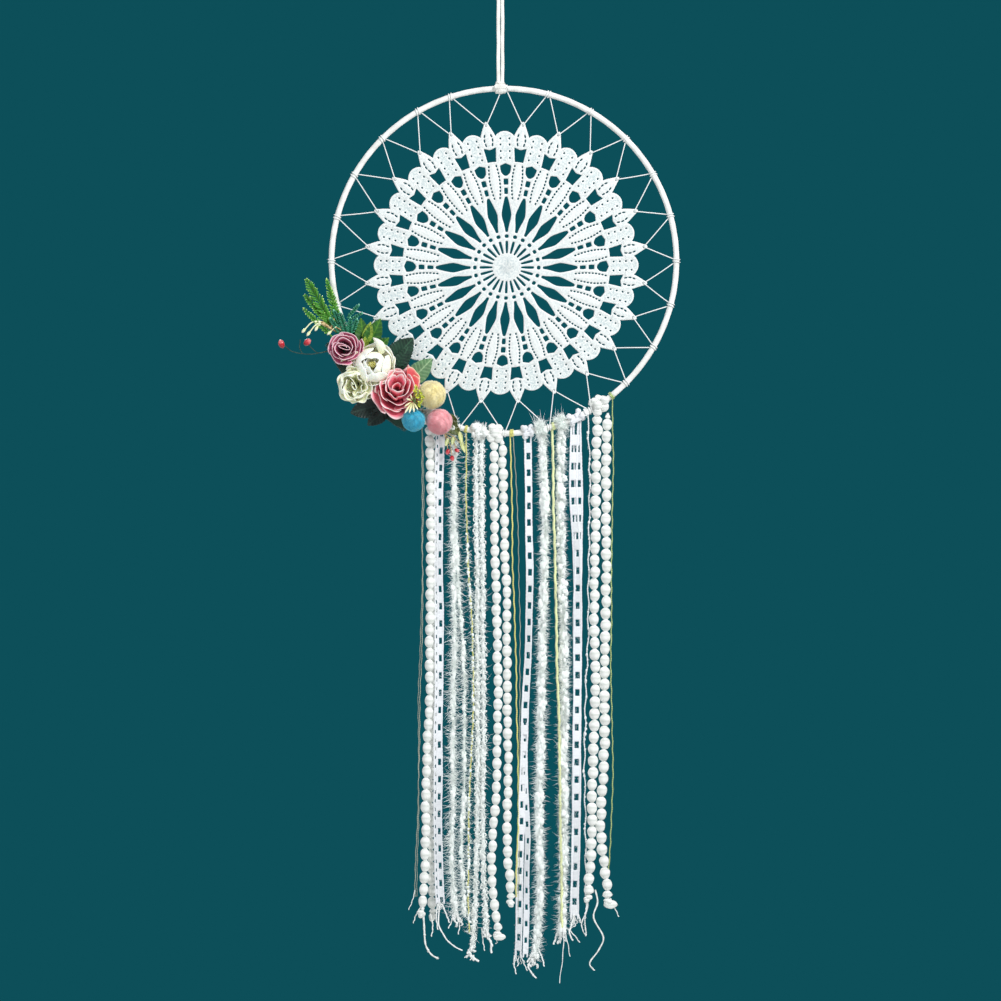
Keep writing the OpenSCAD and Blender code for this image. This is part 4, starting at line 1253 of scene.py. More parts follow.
def half_repeat():
    """Meshes half a repeat: its points, triangles, distance of each point from
    the nearest true edge, and the walls that join front and back there."""
    loops_in = [outline()] + small_holes()
    P = np.array([p for loop in loops_in for p in loop])
    segs, start = [], 0
    for loop in loops_in:
        m = len(loop)
        segs += [(start + k, start + (k + 1) % m) for k in range(m)]
        start += m
    A, B = P[[a for a, _ in segs]], P[[b for _, b in segs]]
    on_side = lambda q: (abs(q[:, 0]) < 1e-6) | (from_block(q) < 1e-6)
    true = ~(on_side(A) & on_side(B) & on_side((A + B) / 2) | on_hub(A, 1e-3) & on_hub(B, 1e-3))
    A, B = A[true], B[true]

    def far(q):
        ab = (B - A)[None]
        t = np.clip(((q[:, None] - A[None]) * ab).sum(-1) / (ab ** 2).sum(-1), 0, 1)
        return np.linalg.norm(q[:, None] - A[None] - t[..., None] * ab, axis=-1).min(1)

    def in_cloth(q):
        return inside(q, loops_in[0]) & ~np.any([inside(q, h) for h in loops_in[1:]], axis=0)

    fill = []
    r = HUB + 0.9
    while r < RIM:
        n = max(int(r * HALF / GRID), 1)
        for k in range(n):
            ang = HALF * (k + 0.5) / n
            fill.append((r * math.sin(ang), r * math.cos(ang)))
        r += GRID
    fill = np.array(fill)
    fill = fill[in_cloth(fill) & (far(fill) > 0.55) & (from_axes(fill) > 0.4)]
    # a row of points just inside every edge, so that the edges are rounded
    ab = unit(B - A)
    aside = np.stack([-ab[:, 1], ab[:, 0]], 1) * 0.36
    near = np.concatenate([(A + B) / 2 + aside, (A + B) / 2 - aside])
    near = near[in_cloth(near) & (far(near) > 0.3) & (from_axes(near) > 0.25)]
    out, _, faces, *_ = delaunay_2d_cdt([Vector(p) for p in np.concatenate([P, fill, near])], segs, [], 0, 1e-6)
    q = np.array([tuple(v) for v in out])
    tri = np.array([f for f in faces if len(f) == 3])
    tri = tri[in_cloth(q[tri].mean(1))]
    u, v = q[tri[:, 1]] - q[tri[:, 0]], q[tri[:, 2]] - q[tri[:, 0]]
    twice = u[:, 0] * v[:, 1] - u[:, 1] * v[:, 0]
    tri = np.where(twice[:, None] > 0, tri, tri[:, ::-1])[abs(twice) > 1e-3]
    edges = dict.fromkeys((int(t[k]), int(t[(k + 1) % 3])) for t in tri for k in range(3))
    rim = np.array([e for e in edges if e[::-1] not in edges])
    m0, m1 = q[rim[:, 0]], q[rim[:, 1]]
    on_seam = from_axes((m0 + m1) / 2) < 1e-4
    on_seam |= abs(np.hypot(*m0.T) - HUB) + abs(np.hypot(*m1.T) - HUB) < 1e-2
    rim = rim[~on_seam]
    n = len(q)
    return q, tri, far(q), np.stack([rim[:, 1], rim[:, 0], rim[:, 0] + n, rim[:, 1] + n], 1)


def relief(q, d):
    """Half the cloth's thickness at each point, and the two values for its look:
    edges are rounded, the block is a sunk ribbed panel, leaf and point have a crest."""
    rr = np.hypot(*q.T)
    block_x = from_block(q)
    high = EDGE + SWELL * np.sqrt(np.clip(1 - (1 - np.clip(d / 0.8, 0, 1)) ** 2, 0, 1))
    panel = (rr > 90.5) & (block_x < 5.4)
    sink = np.where(panel, 0.22 * np.clip((d - 0.9) / 0.8, 0, 1) * np.clip((5.2 - block_x) / 1.2, 0, 1), 0)
    ribs = np.where(panel, 0.09 * np.cos(rr * TAU / 6.75 + 0.8) * np.clip((4.4 - block_x) / 1.5, 0, 1), 0)
    leaf_part = (rr > 58) & (rr < 88.5) & (q[:, 0] < 4.4)
    crest = np.where(leaf_part, 0.14 * np.exp(-(q[:, 0] / 0.8) ** 2), 0)
    pip = np.where((rr > 103) & (q[:, 0] < 2.4), 0.12 * np.exp(-(q[:, 0] / 0.9) ** 2), 0)
    # tone is painted light: a painted highlight on the rounded edges and on leaf and point crests, painted shade
    # inside and in the sunk panel
    tone = np.clip(1 - 0.4 * np.clip((d - 0.5) / 1.0, 0, 1) - sink * 1.7 + crest * 2, 0, 1)
    along = np.where(panel, q[:, 1] * 1.0,
                     np.where(leaf_part | (rr > 103), q[:, 1] * 0.8 + abs(q[:, 0]) * 1.2,
                              q[:, 0] * 1.6 + q[:, 1] * 0.25))
    return high - sink + ribs + crest + pip, tone, along


def drape(x, z, y):
    """Bends the flat pattern as it hangs: the middle sags and drifts a little,
    no two repeats are quite alike, and the cloth ripples in and out."""
    r = np.hypot(x, z)
    a = np.arctan2(z, x)
    fall = np.clip(1 - (r / 116) ** 2, 0, 1)
    x = x + 2.0 * fall + 0.5 * np.sin(z / 21 + 1) * np.sin(x / 27) * np.clip(1.25 - r / LACE_R, 0, 1)
    z = z - 2.3 * fall + 0.5 * np.cos(x / 19) * np.sin(z / 23 + 2) * np.clip(1.25 - r / LACE_R, 0, 1)
    x, z = pull(x, z)
    rip = (0.55 * np.sin(3 * a + 0.6) + 0.35 * np.sin(5 * a + 2)) * (r / LACE_R) ** 2 * np.clip((121 - r) / 25, 0, 1)
    rip = rip + 0.28 * np.cos(24 * a) * np.clip((r - 70) / 40, 0, 1) * np.clip((119 - r) / 8, 0, 1)
    return np.stack([x + DC[0], y + rip, z + DC[2]], 1)


def hub(s):
    """Rings closing on the middle, dimpled between stitched rays."""
    spokes = REPEATS * 8
    ang = np.array([k // 8 * STEP + k % 8 / 4 * STEP / 2 for k in range(spokes)]) + STEP / 2
    thick = EDGE + SWELL
    for front in (-1, 1):
        rows, tones = [], []
        for r in (HUB, 10.2, 9.3, 8.2, 6.8, 5.2, 3.6, 2.2, 1.0):
            dimple = 0.2 * np.exp(-((r - 5.2) / 1.0) ** 2) * np.clip(np.cos(4 * ang), 0, 1) ** 2
            h = thick + (0 if r == HUB else 0.1 * math.cos((r - 8.2) * 1.6)) - dimple
            h = h + (0 if r == HUB else 0.07 * np.cos(24 * ang) * (r / HUB))
            rows.append(drape(r * np.sin(ang), r * np.cos(ang), front * (h + 0 * ang)))
            # painted shade: each dimple is darker by its depth; the inner rings take a lower tone than the outer ring
            tones.append(np.full(spokes, 0.5 if r < 10 else 0.8) - dimple * 2.4)
        v = np.concatenate(rows + [drape(np.zeros(1), np.zeros(1), np.array([front * thick]))])
        middle = cap(len(rows) * spokes, (len(rows) - 1) * spokes, spokes)[:, [1, 2, 0]]
        s.add(v, [cells(len(rows), spokes)[:, TURNED], middle], np.concatenate(tones + [[0.9]]),
              np.concatenate([np.tile(ang * 12, len(rows)), [0]]))


def doily():
    """Guipure lace: half a repeat, mirrored and turned round the hub."""
    q, tri, d, walls = half_repeat()
    high, tone, along = relief(q, d)
    s = Shape()
    for k in range(REPEATS):
        for mirror in (1, -1):
            turn = (k + 0.5) * STEP
            c, sn = math.cos(turn), math.sin(turn)
            qx = q[:, 0] * mirror
            x, z = qx * c + q[:, 1] * sn, -qx * sn + q[:, 1] * c
            t, w = tri[:, ::mirror], walls[:, ::mirror]
            s.add(np.concatenate([drape(x, z, -high), drape(x, z, high)]), [t, t[:, ::-1] + len(q), w],
                  np.tile(tone, 2), np.tile(along, 2))
    hub(s)
    ob = put_for("lace_doily", "cloth", s, LACE)
    weld(ob)


def lacing():
    """One thread from the hitch all the way round: turns on the hoop, down through
    the eyelet of a point, and on to the next place."""
    s = Shape()
    rng = np.random.default_rng(5)
    eye = RIM - 3.3

    def eyelet(k, y):
        b = math.pi / 2 + (k + 0.5) * STEP
        x, z = pull(eye * math.cos(b), eye * math.sin(b))
        return np.array([DC[0] + x, y, DC[2] + z])

    def run(p, q, slack):
        t = np.linspace(0, 1, 9)[:, None]
        sag = np.sin(math.pi * t) * slack
        return p + (q - p) * t + sag * np.array([0.3, -0.2, -1.0])

    pieces = []
    start, end = math.pi / 2 + 2.0 / HOOP, math.pi / 2 - 2.0 / HOOP
    places = [start] + [math.pi / 2 + k * STEP for k in range(1, REPEATS)] + [end + TAU]
    places[1] += 0.05
    for k, a in enumerate(places):
        turns = 2.0
        w = 4.2 if 0 < k < REPEATS else 1.8
        a += rng.uniform(-0.5, 0.5) / HOOP if 0 < k < REPEATS else 0
        phi = np.linspace(math.pi, math.pi + TAU * turns, int(turns * 16) + 1)
        if k == 0:
            phi = phi[5:]
        t = (phi - math.pi) / (TAU * turns)
        wob = 0.25 * np.sin(t * 19 + k)
        path = on_hoop(a + ((t - 0.5) * w + wob * 0.4) / HOOP, TUBE + 0.47, phi)
        if k:
            pieces.append(run(eyelet(k - 1, 1.15), path[0], rng.uniform(-0.2, 0.35))[1:-1])
        pieces.append(path)
        if k < REPEATS:
            pieces.append(run(path[-1], eyelet(k, -1.15), rng.uniform(-0.2, 0.35))[1:-1])
            e = eyelet(k, 0)
            out = unit(e - DC) * 0.25
            pieces.append(np.array([eyelet(k, -1.1), e - [0, 0.6, 0] - out, e - out * 1.2, e + [0, 0.6, 0] - out,
                                    eyelet(k, 1.1)]))
    path = np.concatenate(pieces)
    tube(s, path, 0.43, 7)
    for a, sgn in ((places[0], 1), (places[-1], -1)):
        q = on_hoop(np.full(8, a) + np.linspace(0, sgn * 3.2, 8) / HOOP, TUBE + 0.9, np.linspace(1.2, 1.9, 8))
        tube(s, q, 0.42, 6)
    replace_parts(make("lacing_run", s, THREAD), "lacing_thread")


lacing()
doily()


# ---- Flowers ----

def facing(up, right):
    """Forward, across and upward directions of a bloom turned up and right by
    so many degrees from facing the front."""
    up, right = math.radians(up), math.radians(right)
    f = np.array([math.sin(right) * math.cos(up), -math.cos(right) * math.cos(up), math.sin(up)])
    x = unit(np.cross([0, 0, 1.0], f))
    return f, x, np.cross(f, x)


def grid(shape, P, tone, along):
    """A sheet of points, rows by columns, as quads."""
    n, m = P.shape[:2]
    full = lambda q: np.broadcast_to(q, (n, m)).ravel()
    return shape.add(P.reshape(-1, 3), [cells(n, m, wrap=False)[:, TURNED]], full(tone), full(along))


def around(base, ways, phi, rho, h):
    """Points at angles round a bloom's axis, at a radius and a height."""
    f, x, z = ways
    return base + f * h[..., None] + (np.cos(phi)[..., None] * x + np.sin(phi)[..., None] * z) * rho[..., None]


def petal_leaf(shape, base, ways, theta, r0, r1, rise, half, lip, wave, rng):
    """One petal: a piece of a bowl about the bloom's axis, wide at a rounded tip
    that curls outward, one side tucked in behind its neighbour."""
    cup, slant = 1.7, 0.07
    u = np.linspace(-1, 1, 31)[None, :]
    v = np.linspace(0, 1, 21)[:, None]
    skew = rng.uniform(-0.06, 0.06)
    w = v * (1 - 0.2 * abs(u) ** 2.6 + skew * u)
    phi = theta + u * half * (0.4 + 0.6 * np.sin(np.minimum(v * 1.2, 1) * math.pi / 2))
    rho = r0 + (r1 - r0) * np.sin(w * math.pi / 2) ** 1.15
    h = rise * w ** cup
    k = np.clip((w - 0.7) / 0.3, 0, 1)
    rho = rho + lip * k ** 2
    h = h - lip * 0.6 * k ** 2.3
    rho = rho * (1 + slant * u)
    m, a, b = rng.uniform(1.6, 2.6), rng.uniform(0, TAU), rng.uniform(0, TAU)
    rho = rho + wave * np.sin(u * math.pi * m + a) * v ** 3
    h = h + wave * 0.8 * np.sin(u * math.pi * m * 0.7 + b) * v ** 3 - 0.05 * rise * np.exp(-(u / 0.22) ** 2) * v ** 5
    hem = np.exp(-((1 - v) / 0.09) ** 2) + 0.8 * np.exp(-((1 - abs(u)) / 0.1) ** 2) * v
    # the tone is low at the petal's foot, which gives it painted shade deep in the bloom, and high at its hem
    grid(shape, around(base, ways, phi, rho, h), np.clip(0.68 * v ** 1.4 + 0.35 * hem, 0, 1), u + 0 * v)


def heart(shape, base, ways, r0, r1, top, turns, squash=(1, 1), spin=0.0):
    """The rolled middle of a bloom: one strip wound round and round."""
    f, x, z = ways
    s = np.linspace(0, 1, int(turns * 34))[None, :]
    v = np.linspace(0, 1, 12)[:, None]
    phi = s * turns * TAU
    rho = r0 + (r1 - r0) * s + v ** 3 * (0.3 + 0.7 * s) + 0.12 * r1 * np.sin(phi * 2.3) * v
    h = top * v * (1 - 0.1 * s) + 0.35 * np.sin(phi * 1.7) * v
    px, pz = np.cos(phi) * rho * squash[0], np.sin(phi) * rho * squash[1]
    c, sn = math.cos(spin), math.sin(spin)
    P = base + f * h[..., None] + (px * c - pz * sn)[..., None] * x + (px * sn + pz * c)[..., None] * z
    # the tone is low at the foot of the rolled middle, painted shade deep in the bloom
    grid(shape, P, np.clip(v ** 2.2 * 0.9, 0, 1) + 0 * s, s * turns * 5 + 0 * v)


def closing(shape, base, ways, theta, size, high, half, last, rng):
    """One petal that bellies out and closes over the bloom like part of a dome,
    its angle up the dome running from first to last."""
    first, wave = 25, 0.4
    u = np.linspace(-1, 1, 33)[None, :]
    v = np.linspace(0, 1, 25)[:, None]
    w = v * (1 - 0.16 * abs(u) ** 2.4 + rng.uniform(-0.06, 0.06) * u)
    psi = np.radians(first + (last - first) * w)
    phi = theta + u * half * (0.55 + 0.45 * np.sin(np.minimum(v * 1.3, 1) * math.pi / 2))
    m, a = rng.uniform(1.4, 2.4), rng.uniform(0, TAU)
    rho = size * np.sin(psi) * (1 + 0.05 * u) + wave * np.sin(u * math.pi * m + a) * v ** 2
    h = (high * (1 - np.cos(psi)) / 2 + wave * 0.7 * np.cos(u * math.pi * m + a) * v ** 2
         - 0.5 * np.exp(-(u / 0.16) ** 2) * v)
    hem = np.exp(-((1 - v) / 0.07) ** 2) + 0.6 * np.exp(-((1 - abs(u)) / 0.08) ** 2) * v
    # the tone is low at the dome petal's foot, painted shade inside the bloom
    grid(shape, around(base, ways, phi, rho, h), np.clip(0.3 + 0.5 * v + 0.3 * hem, 0, 1), u + 0 * v)


def bloom(node, mat, tilt, layers, middle, seed, move, stretch=(1, 1), domes=()):
    """layers: how many petals, inner and outer radius, rise, half width in
    degrees, lip, wave and first angle; radii and rises as shares of the bloom's.
    domes: single closing petals as angle, radius, height, half width, last angle."""
    rng = np.random.default_rng(seed)
    lo, hi = box(node)
    r = (hi - lo)[0] / 2
    base = np.array([(lo + hi)[0] / 2 + move[0], hi[1] + 0.4, (lo + hi)[2] / 2 + move[1]])
    f, x, z = facing(*tilt)
    ways = f, x * stretch[0], z * stretch[1]
    s = Shape()
    deep = (hi - lo)[1]
    for turn, size, high, half, last in domes:
        closing(s, base, ways, math.radians(turn), size * r, high * deep, math.radians(half), last, rng)
    for count, r0, r1, rise, half, lip, wave, start in layers:
        for k in range(count):
            theta = math.radians(start) + TAU * k / count + rng.uniform(-0.09, 0.09)
            petal_leaf(s, base, ways, theta, r0 * r, r1 * r * rng.uniform(0.95, 1.04),
                       rise * deep * rng.uniform(0.94, 1.05),
                       math.radians(half), lip * r, wave * r, rng)
    heart(s, base, ways, middle[0] * r, middle[1] * r, middle[2] * deep, *middle[3:])
    thicken(put_for(node, "petals", s, mat), 0.45)


# each first, deep colour is painted shade deep in its bloom
MAUVE = petal("mauve_petal", (88, 18, 46), (204, 92, 132), (253, 216, 224))
PINK = petal("pink_petal", (140, 12, 46), (248, 106, 132), (255, 226, 226), (252, 150, 152))
IVORY = petal("ivory_petal", (206, 202, 124), (250, 247, 222), (254, 254, 248), (252, 248, 206))
IVORY_GREEN = petal("ivory_green_petal", (186, 190, 134), (236, 236, 198), (253, 253, 238), (212, 216, 158))
CORAL = petal("coral_petal", (208, 50, 70), (242, 108, 110), (255, 206, 180))

bloom("mauve_rose", MAUVE, (4, -4),
      [(4, 0.3, 0.98, 0.4, 54, 0.06, 0.03, 62), (1, 0.5, 1.2, 0.46, 26, 0.02, 0.02, 8),
       (4, 0.26, 0.76, 0.68, 54, 0.05, 0.025, 20),
       (3, 0.2, 0.53, 0.9, 66, 0.04, 0.02, 80)],
      (0.1, 0.26, 0.98, 1.5, (1.45, 0.62), -0.3), 3, (0.5, 0.8))
bloom("pink_rose", PINK, (27, 4),
      [(1, 0.3, 1.16, 0.26, 42, 0.09, 0.04, 80), (5, 0.3, 1.0, 0.22, 46, 0.12, 0.05, 54),
       (4, 0.28, 0.86, 0.44, 52, 0.09, 0.04, 225), (4, 0.24, 0.68, 0.68, 54, 0.08, 0.03, 270),
       (3, 0.2, 0.5, 0.88, 64, 0.07, 0.03, 210), (3, 0.16, 0.34, 1.0, 66, 0.05, 0.02, 270)],
      (0.13, 0.2, 0.6, 1.1), 8, (0.6, -4.2), (0.95, 1.13))
bloom("cream_flower_upper", IVORY, (6, -9),
      [(1, 0.3, 1.08, 0.5, 46, 0.03, 0.02, 34), (5, 0.2, 0.98, 0.42, 50, 0.04, 0.03, 48),
       (3, 0.05, 0.3, 0.84, 80, 0.06, 0.03, 20)], (0.02, 0.12, 0.8, 1.2), 14, (-0.2, 0.6), (1.02, 1.02),
      [(48, 0.96, 0.86, 44, 108), (138, 0.86, 0.9, 48, 146), (208, 0.86, 0.88, 46, 150), (280, 0.84, 0.92, 46, 146),
       (352, 0.82, 0.9, 40, 144), (90, 0.62, 0.94, 66, 156), (215, 0.6, 0.92, 60, 158), (330, 0.6, 0.96, 60, 158)])
bloom("cream_flower_lower", IVORY_GREEN, (-4, -10),
      [(5, 0.25, 1.0, 0.4, 50, 0.1, 0.08, 150), (3, 0.2, 0.74, 0.84, 60, 0.12, 0.08, 10),
       (3, 0.1, 0.5, 0.9, 52, 0.1, 0.09, 70)],
      (0.03, 0.2, 0.95, 1.2, (0.5, 1.9), 0.5), 21, (2.6, -1.6), (1, 1.08),
      [(170, 0.92, 0.84, 44, 132), (238, 0.9, 0.9, 40, 136), (292, 0.84, 0.84, 36, 128), (100, 0.8, 0.86, 44, 138)])


def loose_petals():
    """Single petals that stand clear of their bloom."""
    rng = np.random.default_rng(31)
    front = box("pink_rose")[1][1]
    s = Shape()
    petal_leaf(s, at(-84, front - 4, -104), facing(16, 22), math.radians(36), 2, 11, 6, math.radians(48), 1.2,
               0.5, rng)
    petal_leaf(s, at(-84.5, front - 5.5, -106), facing(12, 26), math.radians(2), 2, 10.5, 6, math.radians(44),
               1.0, 0.5, rng)
    thicken(make("pink_rose_side_petals", s, CORAL), 0.45)
    s = Shape()
    base = at(-103.5, front - 4, -80)
    q = np.linspace(0, 1, 22)[:, None]
    t = np.linspace(-1, 1, 11)[None, :]
    half = 3.4 * np.sin(math.pi * np.clip(q * 0.86 + 0.14, 0, 1)) ** 0.7
    x = -1.5 * q - 6.5 * q ** 2.6 + t * half
    z = 15 * q - 1.2 * q ** 3 + t * half * 0.35
    y = -2 - 3 * np.sin(q * math.pi) - 1.6 * (1 - t ** 2) + 0 * q
    # the tone pales the petal towards its tip; its darker foot is painted shade
    grid(s, base + np.stack(np.broadcast_arrays(x, y, z), -1), np.clip(0.5 + 0.5 * q + 0 * t, 0, 1), t + 0 * q)
    petal_leaf(s, at(-118.5, front + 1, -107), facing(-6, 4), math.radians(-60), 1, 10, 6.5, math.radians(58),
               1.2, 0.6, rng)
    petal_leaf(s, at(-118, front - 1.5, -106.5), facing(-4, 16), math.radians(-40), 0.5, 7.5, 6,
               math.radians(62), 0.9, 0.5, rng)
    petal_leaf(s, at(-126, front - 3, -93), facing(14, -10), math.radians(118), 2, 14, 5, math.radians(46), 1.4,
               0.6, rng)
    thicken(make("cream_flower_side_petals", s, IVORY_GREEN), 0.42)
    # the yellow middle of the upper cream flower
    lo, hi = box("cream_flower_upper")
    mid = np.array([(lo + hi)[0] / 2 - 2.6, lo[1] + 3.6, (lo + hi)[2] / 2 + 1.4])
    s = Shape()
    for k in range(26):
        a, rr = k * 2.4, 0.45 * math.sqrt(k)
        foot = mid + [rr * math.cos(a), 2.5, rr * math.sin(a) * 0.8]
        tip = mid + [1.5 * rr * math.cos(a), -1.2 + 0.12 * k * 0.3, 1.4 * rr * math.sin(a) * 0.8]
        tube(s, np.linspace(foot, tip, 5), 0.16, 5, tone=0.5)
        ball(s, tip, (0.42, 0.5, 0.42), rng, 8, 5, 0.1, 0.7)
    make("cream_flower_stamens", s, shiny("stamen", (170, 160, 40), (222, 214, 90), (244, 240, 160), 0.5))


loose_petals()


# ---- Pom-poms ----

def pompom(node, mat, count, reach):
    """A felted ball with fibres standing from it all over, spread evenly."""
    lo, hi = box(node)
    mid, r = (lo + hi) / 2, (hi - lo)[0] / 2
    rng = dice(node)
    s = Shape()
    # the core ball's tone and the fibres' low tone at the root give painted shade in the pile
    ball(s, mid, r - reach * 0.8, rng, 44, 28, 0.012, 0.6)
    k = np.arange(count) + 0.5
    z = 1 - 2 * k / count
    a = k * 2.39996
    d = np.stack([np.sqrt(1 - z * z) * np.cos(a), np.sqrt(1 - z * z) * np.sin(a), z], 1)
    swell = 1 + 0.02 * np.sin(d @ np.array([3.1, 4.7, 2.9]) * 2) + 0.012 * np.sin(d @ np.array([-7, 5, 6.0]))
    root = mid + d * (r - reach) * swell[:, None]
    hairs(s, root, d + rng.normal(0, 0.3, (count, 3)), reach * rng.uniform(0.8, 1.12, count) * swell, 0.2,
          rng.uniform(-0.35, 0.35, count), rng, (0.25, 1.0))
    put_for(node, "pile", s, mat)


pompom("cream_pompom", velvet("cream_pile", (255, 232, 164), (255, 247, 188), (255, 251, 218)), 6500, 1.7)
pompom("pink_pompom", velvet("pink_pile", (255, 144, 158), (255, 186, 194), (255, 216, 218)), 5600, 1.6)
pompom("blue_pompom", velvet("blue_pile", (0, 138, 192), (12, 212, 244), (112, 234, 250)), 5000, 1.6)


# ---- Leaves and sprigs ----

def leaf(shape, root, angle, length, width, veins, curl, fold=0.35, teeth=0, ripple=0.5, blunt=0.8):
    """A leaf that lies in the spray's plane: ribbed, folded along its middle, its
    tip curling forward; teeth cut its edge."""
    q = np.linspace(0, 1, 61)[:, None]
    t = np.linspace(-1, 1, 31)[None, :]
    half = width / 2 * np.sin(math.pi * q ** blunt) ** 0.75
    if teeth:
        half = half * (1 + 0.13 * ((q * teeth) % 1 - 0.5) * (half > width * 0.1))
    half = np.maximum(half, 0.25)
    a = math.radians(angle)
    d, n = np.array([math.cos(a), 0, math.sin(a)]), np.array([-math.sin(a), 0, math.cos(a)])
    out = t * half
    mid = np.exp(-(out / 0.45) ** 2)
    rib = (q - 0.42 * abs(out) / length * 1.6) * veins
    side = np.exp(-((rib - np.round(rib)) / 0.09) ** 2) * (abs(t) < 0.93) * (abs(out) > 0.3)
    y = -fold * abs(out) ** 1.15 - curl * np.clip(q - 0.25, 0, 1) ** 2 / 0.56 - 0.35 * mid - 0.16 * side
    y = y - ripple * np.sin(q * 15 + 2 * np.sign(t)) * abs(t) ** 3 + 0.25 * np.cos((rib) * TAU) * abs(t)
    P = root + d * (q * length)[..., None] + n * out[..., None] + np.array([0, 1.0, 0]) * y[..., None]
    grid(shape, P, np.clip(mid + 0.65 * side, 0, 1), q * length + 0 * t)


FRONT = box("olive_leaf")[1][1]
LEAVES = {
    # name: ((dark, mid, vein colours, speckle), [(x, z, angle, length, width, options)])
    "olive_leaf": (((40, 84, 50), (84, 142, 92), (176, 208, 160), 0.4),
                   [(-81, -104, 46, 28, 17, dict(veins=8, blunt=0.75, curl=1.5, fold=0.2))]),
    "dark_leaf_upper": (((8, 30, 26), (22, 60, 44), (60, 104, 76), 0.12),
                        [(-99, -90, 48, 32, 21, dict(teeth=13, veins=10, curl=1.0, fold=0.18)),
                         (-91, -94, 66, 22, 13, dict(teeth=9, veins=7, curl=0.5))]),
    "dark_leaf_lower": (((5, 18, 18), (13, 34, 30), (34, 60, 50), 0.1),
                        [(-106, -123, 196, 26, 17, dict(teeth=11, veins=8, curl=1.0)),
                         (-100, -126, 222, 22, 14, dict(teeth=9, veins=7, curl=0.4))]),
    "small_leaf": (((44, 58, 20), (84, 98, 44), (136, 146, 82), 0.2),
                   [(-50, -138, -40, 17, 10, dict(veins=6, curl=0.6)),
                    (-47, -131, -64, 15, 8, dict(veins=5, curl=0.4))]),
    "veined_leaf": (((8, 56, 22), (24, 96, 34), (96, 150, 40), 0.3),
                    [(-119, -80, 96, 31, 14, dict(veins=8, curl=1.5, fold=0.3, teeth=11)),
                     (-118, -78, 66, 31, 15, dict(veins=7, curl=1.0, teeth=11)),
                     (-116, -82, 42, 24, 12, dict(veins=7, curl=0.8, teeth=8)),
                     (-118.5, -72, 76, 20, 9, dict(veins=7, curl=2.2, teeth=8,
                                                   light=((70, 120, 20), (140, 168, 40), (216, 220, 90), 0.4))),
                     (-120, -78, 84, 13, 8, dict(veins=5, curl=1.6,
                                                 light=((60, 110, 20), (110, 150, 40), (200, 214, 90), 0.4)))]),
}


def leaves():
    for node, (colours, parts) in LEAVES.items():
        s, pale = Shape(), Shape()
        for k, (x, z, angle, length, width, options) in enumerate(parts):
            light = options.pop("light", None)
            leaf(pale if light else s, at(x, FRONT - 0.2 - 0.5 * k, z), angle, length, width, **options)
        if pale.n:
            thicken(make(node + "_young", pale, leafy(node + "_lime", *light)), 0.32)
        thicken(put_for(node, "blade", s, leafy(node + "_green", *colours)), 0.32)


leaves()


def sprig(stem, knobs, root, angle, length, width, rng, bow, pitch=2.5, tip_r=0.6, forward=4.0):
    """A fern frond: a bowed stem with pairs of leaflets, each swelling to a bead."""
    a = math.radians(angle)
    d, n = np.array([math.cos(a), 0, math.sin(a)]), np.array([-math.sin(a), 0, math.cos(a)])
    q = np.linspace(0, 1, 30)[:, None]
    path = root + d * length * q + n * bow * np.sin(math.pi * q / 2) ** 2 + np.array([0, -forward, 0]) * q ** 1.5
    tube(stem, path, 0.75 - 0.45 * q[:, 0], 7, tone=0.4 + 0.5 * q[:, 0])
    s = lengths(path)
    at_s = length * 0.16
    while at_s < s[-1] - 0.5:
        share = at_s / s[-1]
        reach = width / 2 * math.sin(math.pi * min(share * 0.82 + 0.16, 1)) ** 0.6
        foot = points_at(s, at_s, path)
        for side in (-1, 1):
            lean = math.radians(38 + rng.uniform(-7, 7))
            way = unit(d * math.cos(lean) + n * side * math.sin(lean) + [0, -0.35 + rng.uniform(-0.15, 0.15), 0])
            end = foot + way * reach * rng.uniform(0.85, 1.1)
            m = np.linspace(0, 1, 7)[:, None]
            blade = foot + (end - foot) * m + np.array([0, -0.5, 0]) * np.sin(math.pi * m)
            tube(stem, blade, (0.42 + 0.62 * np.sin(math.pi * m[:, 0] ** 1.4) * (0.6 + 0.4 * (1 - share))), 6,
                 tone=0.15 + 0.5 * m[:, 0])
            ball(knobs, end, (tip_r * rng.uniform(0.75, 1.15), tip_r * 0.9, tip_r * rng.uniform(0.9, 1.3)), rng, 9, 6,
                 0.1, rng.uniform(0.35, 1.0))
        at_s += pitch * rng.uniform(0.9, 1.15)
    ball(knobs, path[-1], (0.7, 0.7, 1.2), rng, 9, 6, 0.1, 0.9)


FERN = leafy("fern_green", (4, 56, 20), (18, 112, 34), (104, 178, 48), 0.3)
FERN_TIP = shiny("fern_tip", (30, 120, 40), (104, 180, 60), (206, 232, 130), 0.4)
TEAL = leafy("juniper_green", (2, 44, 38), (8, 92, 66), (50, 150, 110), 0.3)
PALE = shiny("pale_bud", (190, 200, 110), (232, 236, 176), (250, 250, 232), 0.45)
STEM = rough_bark("stem_bark", (20, 44, 40), (60, 84, 70))
TAN = rough_bark("twig_bark", (120, 92, 48), (226, 200, 148))
# the light colour is a painted highlight at one end of each berry, the deep colour painted shade at the other
RED = shiny("berry_red", (96, 4, 16), (196, 24, 40), (250, 170, 170), 0.2)


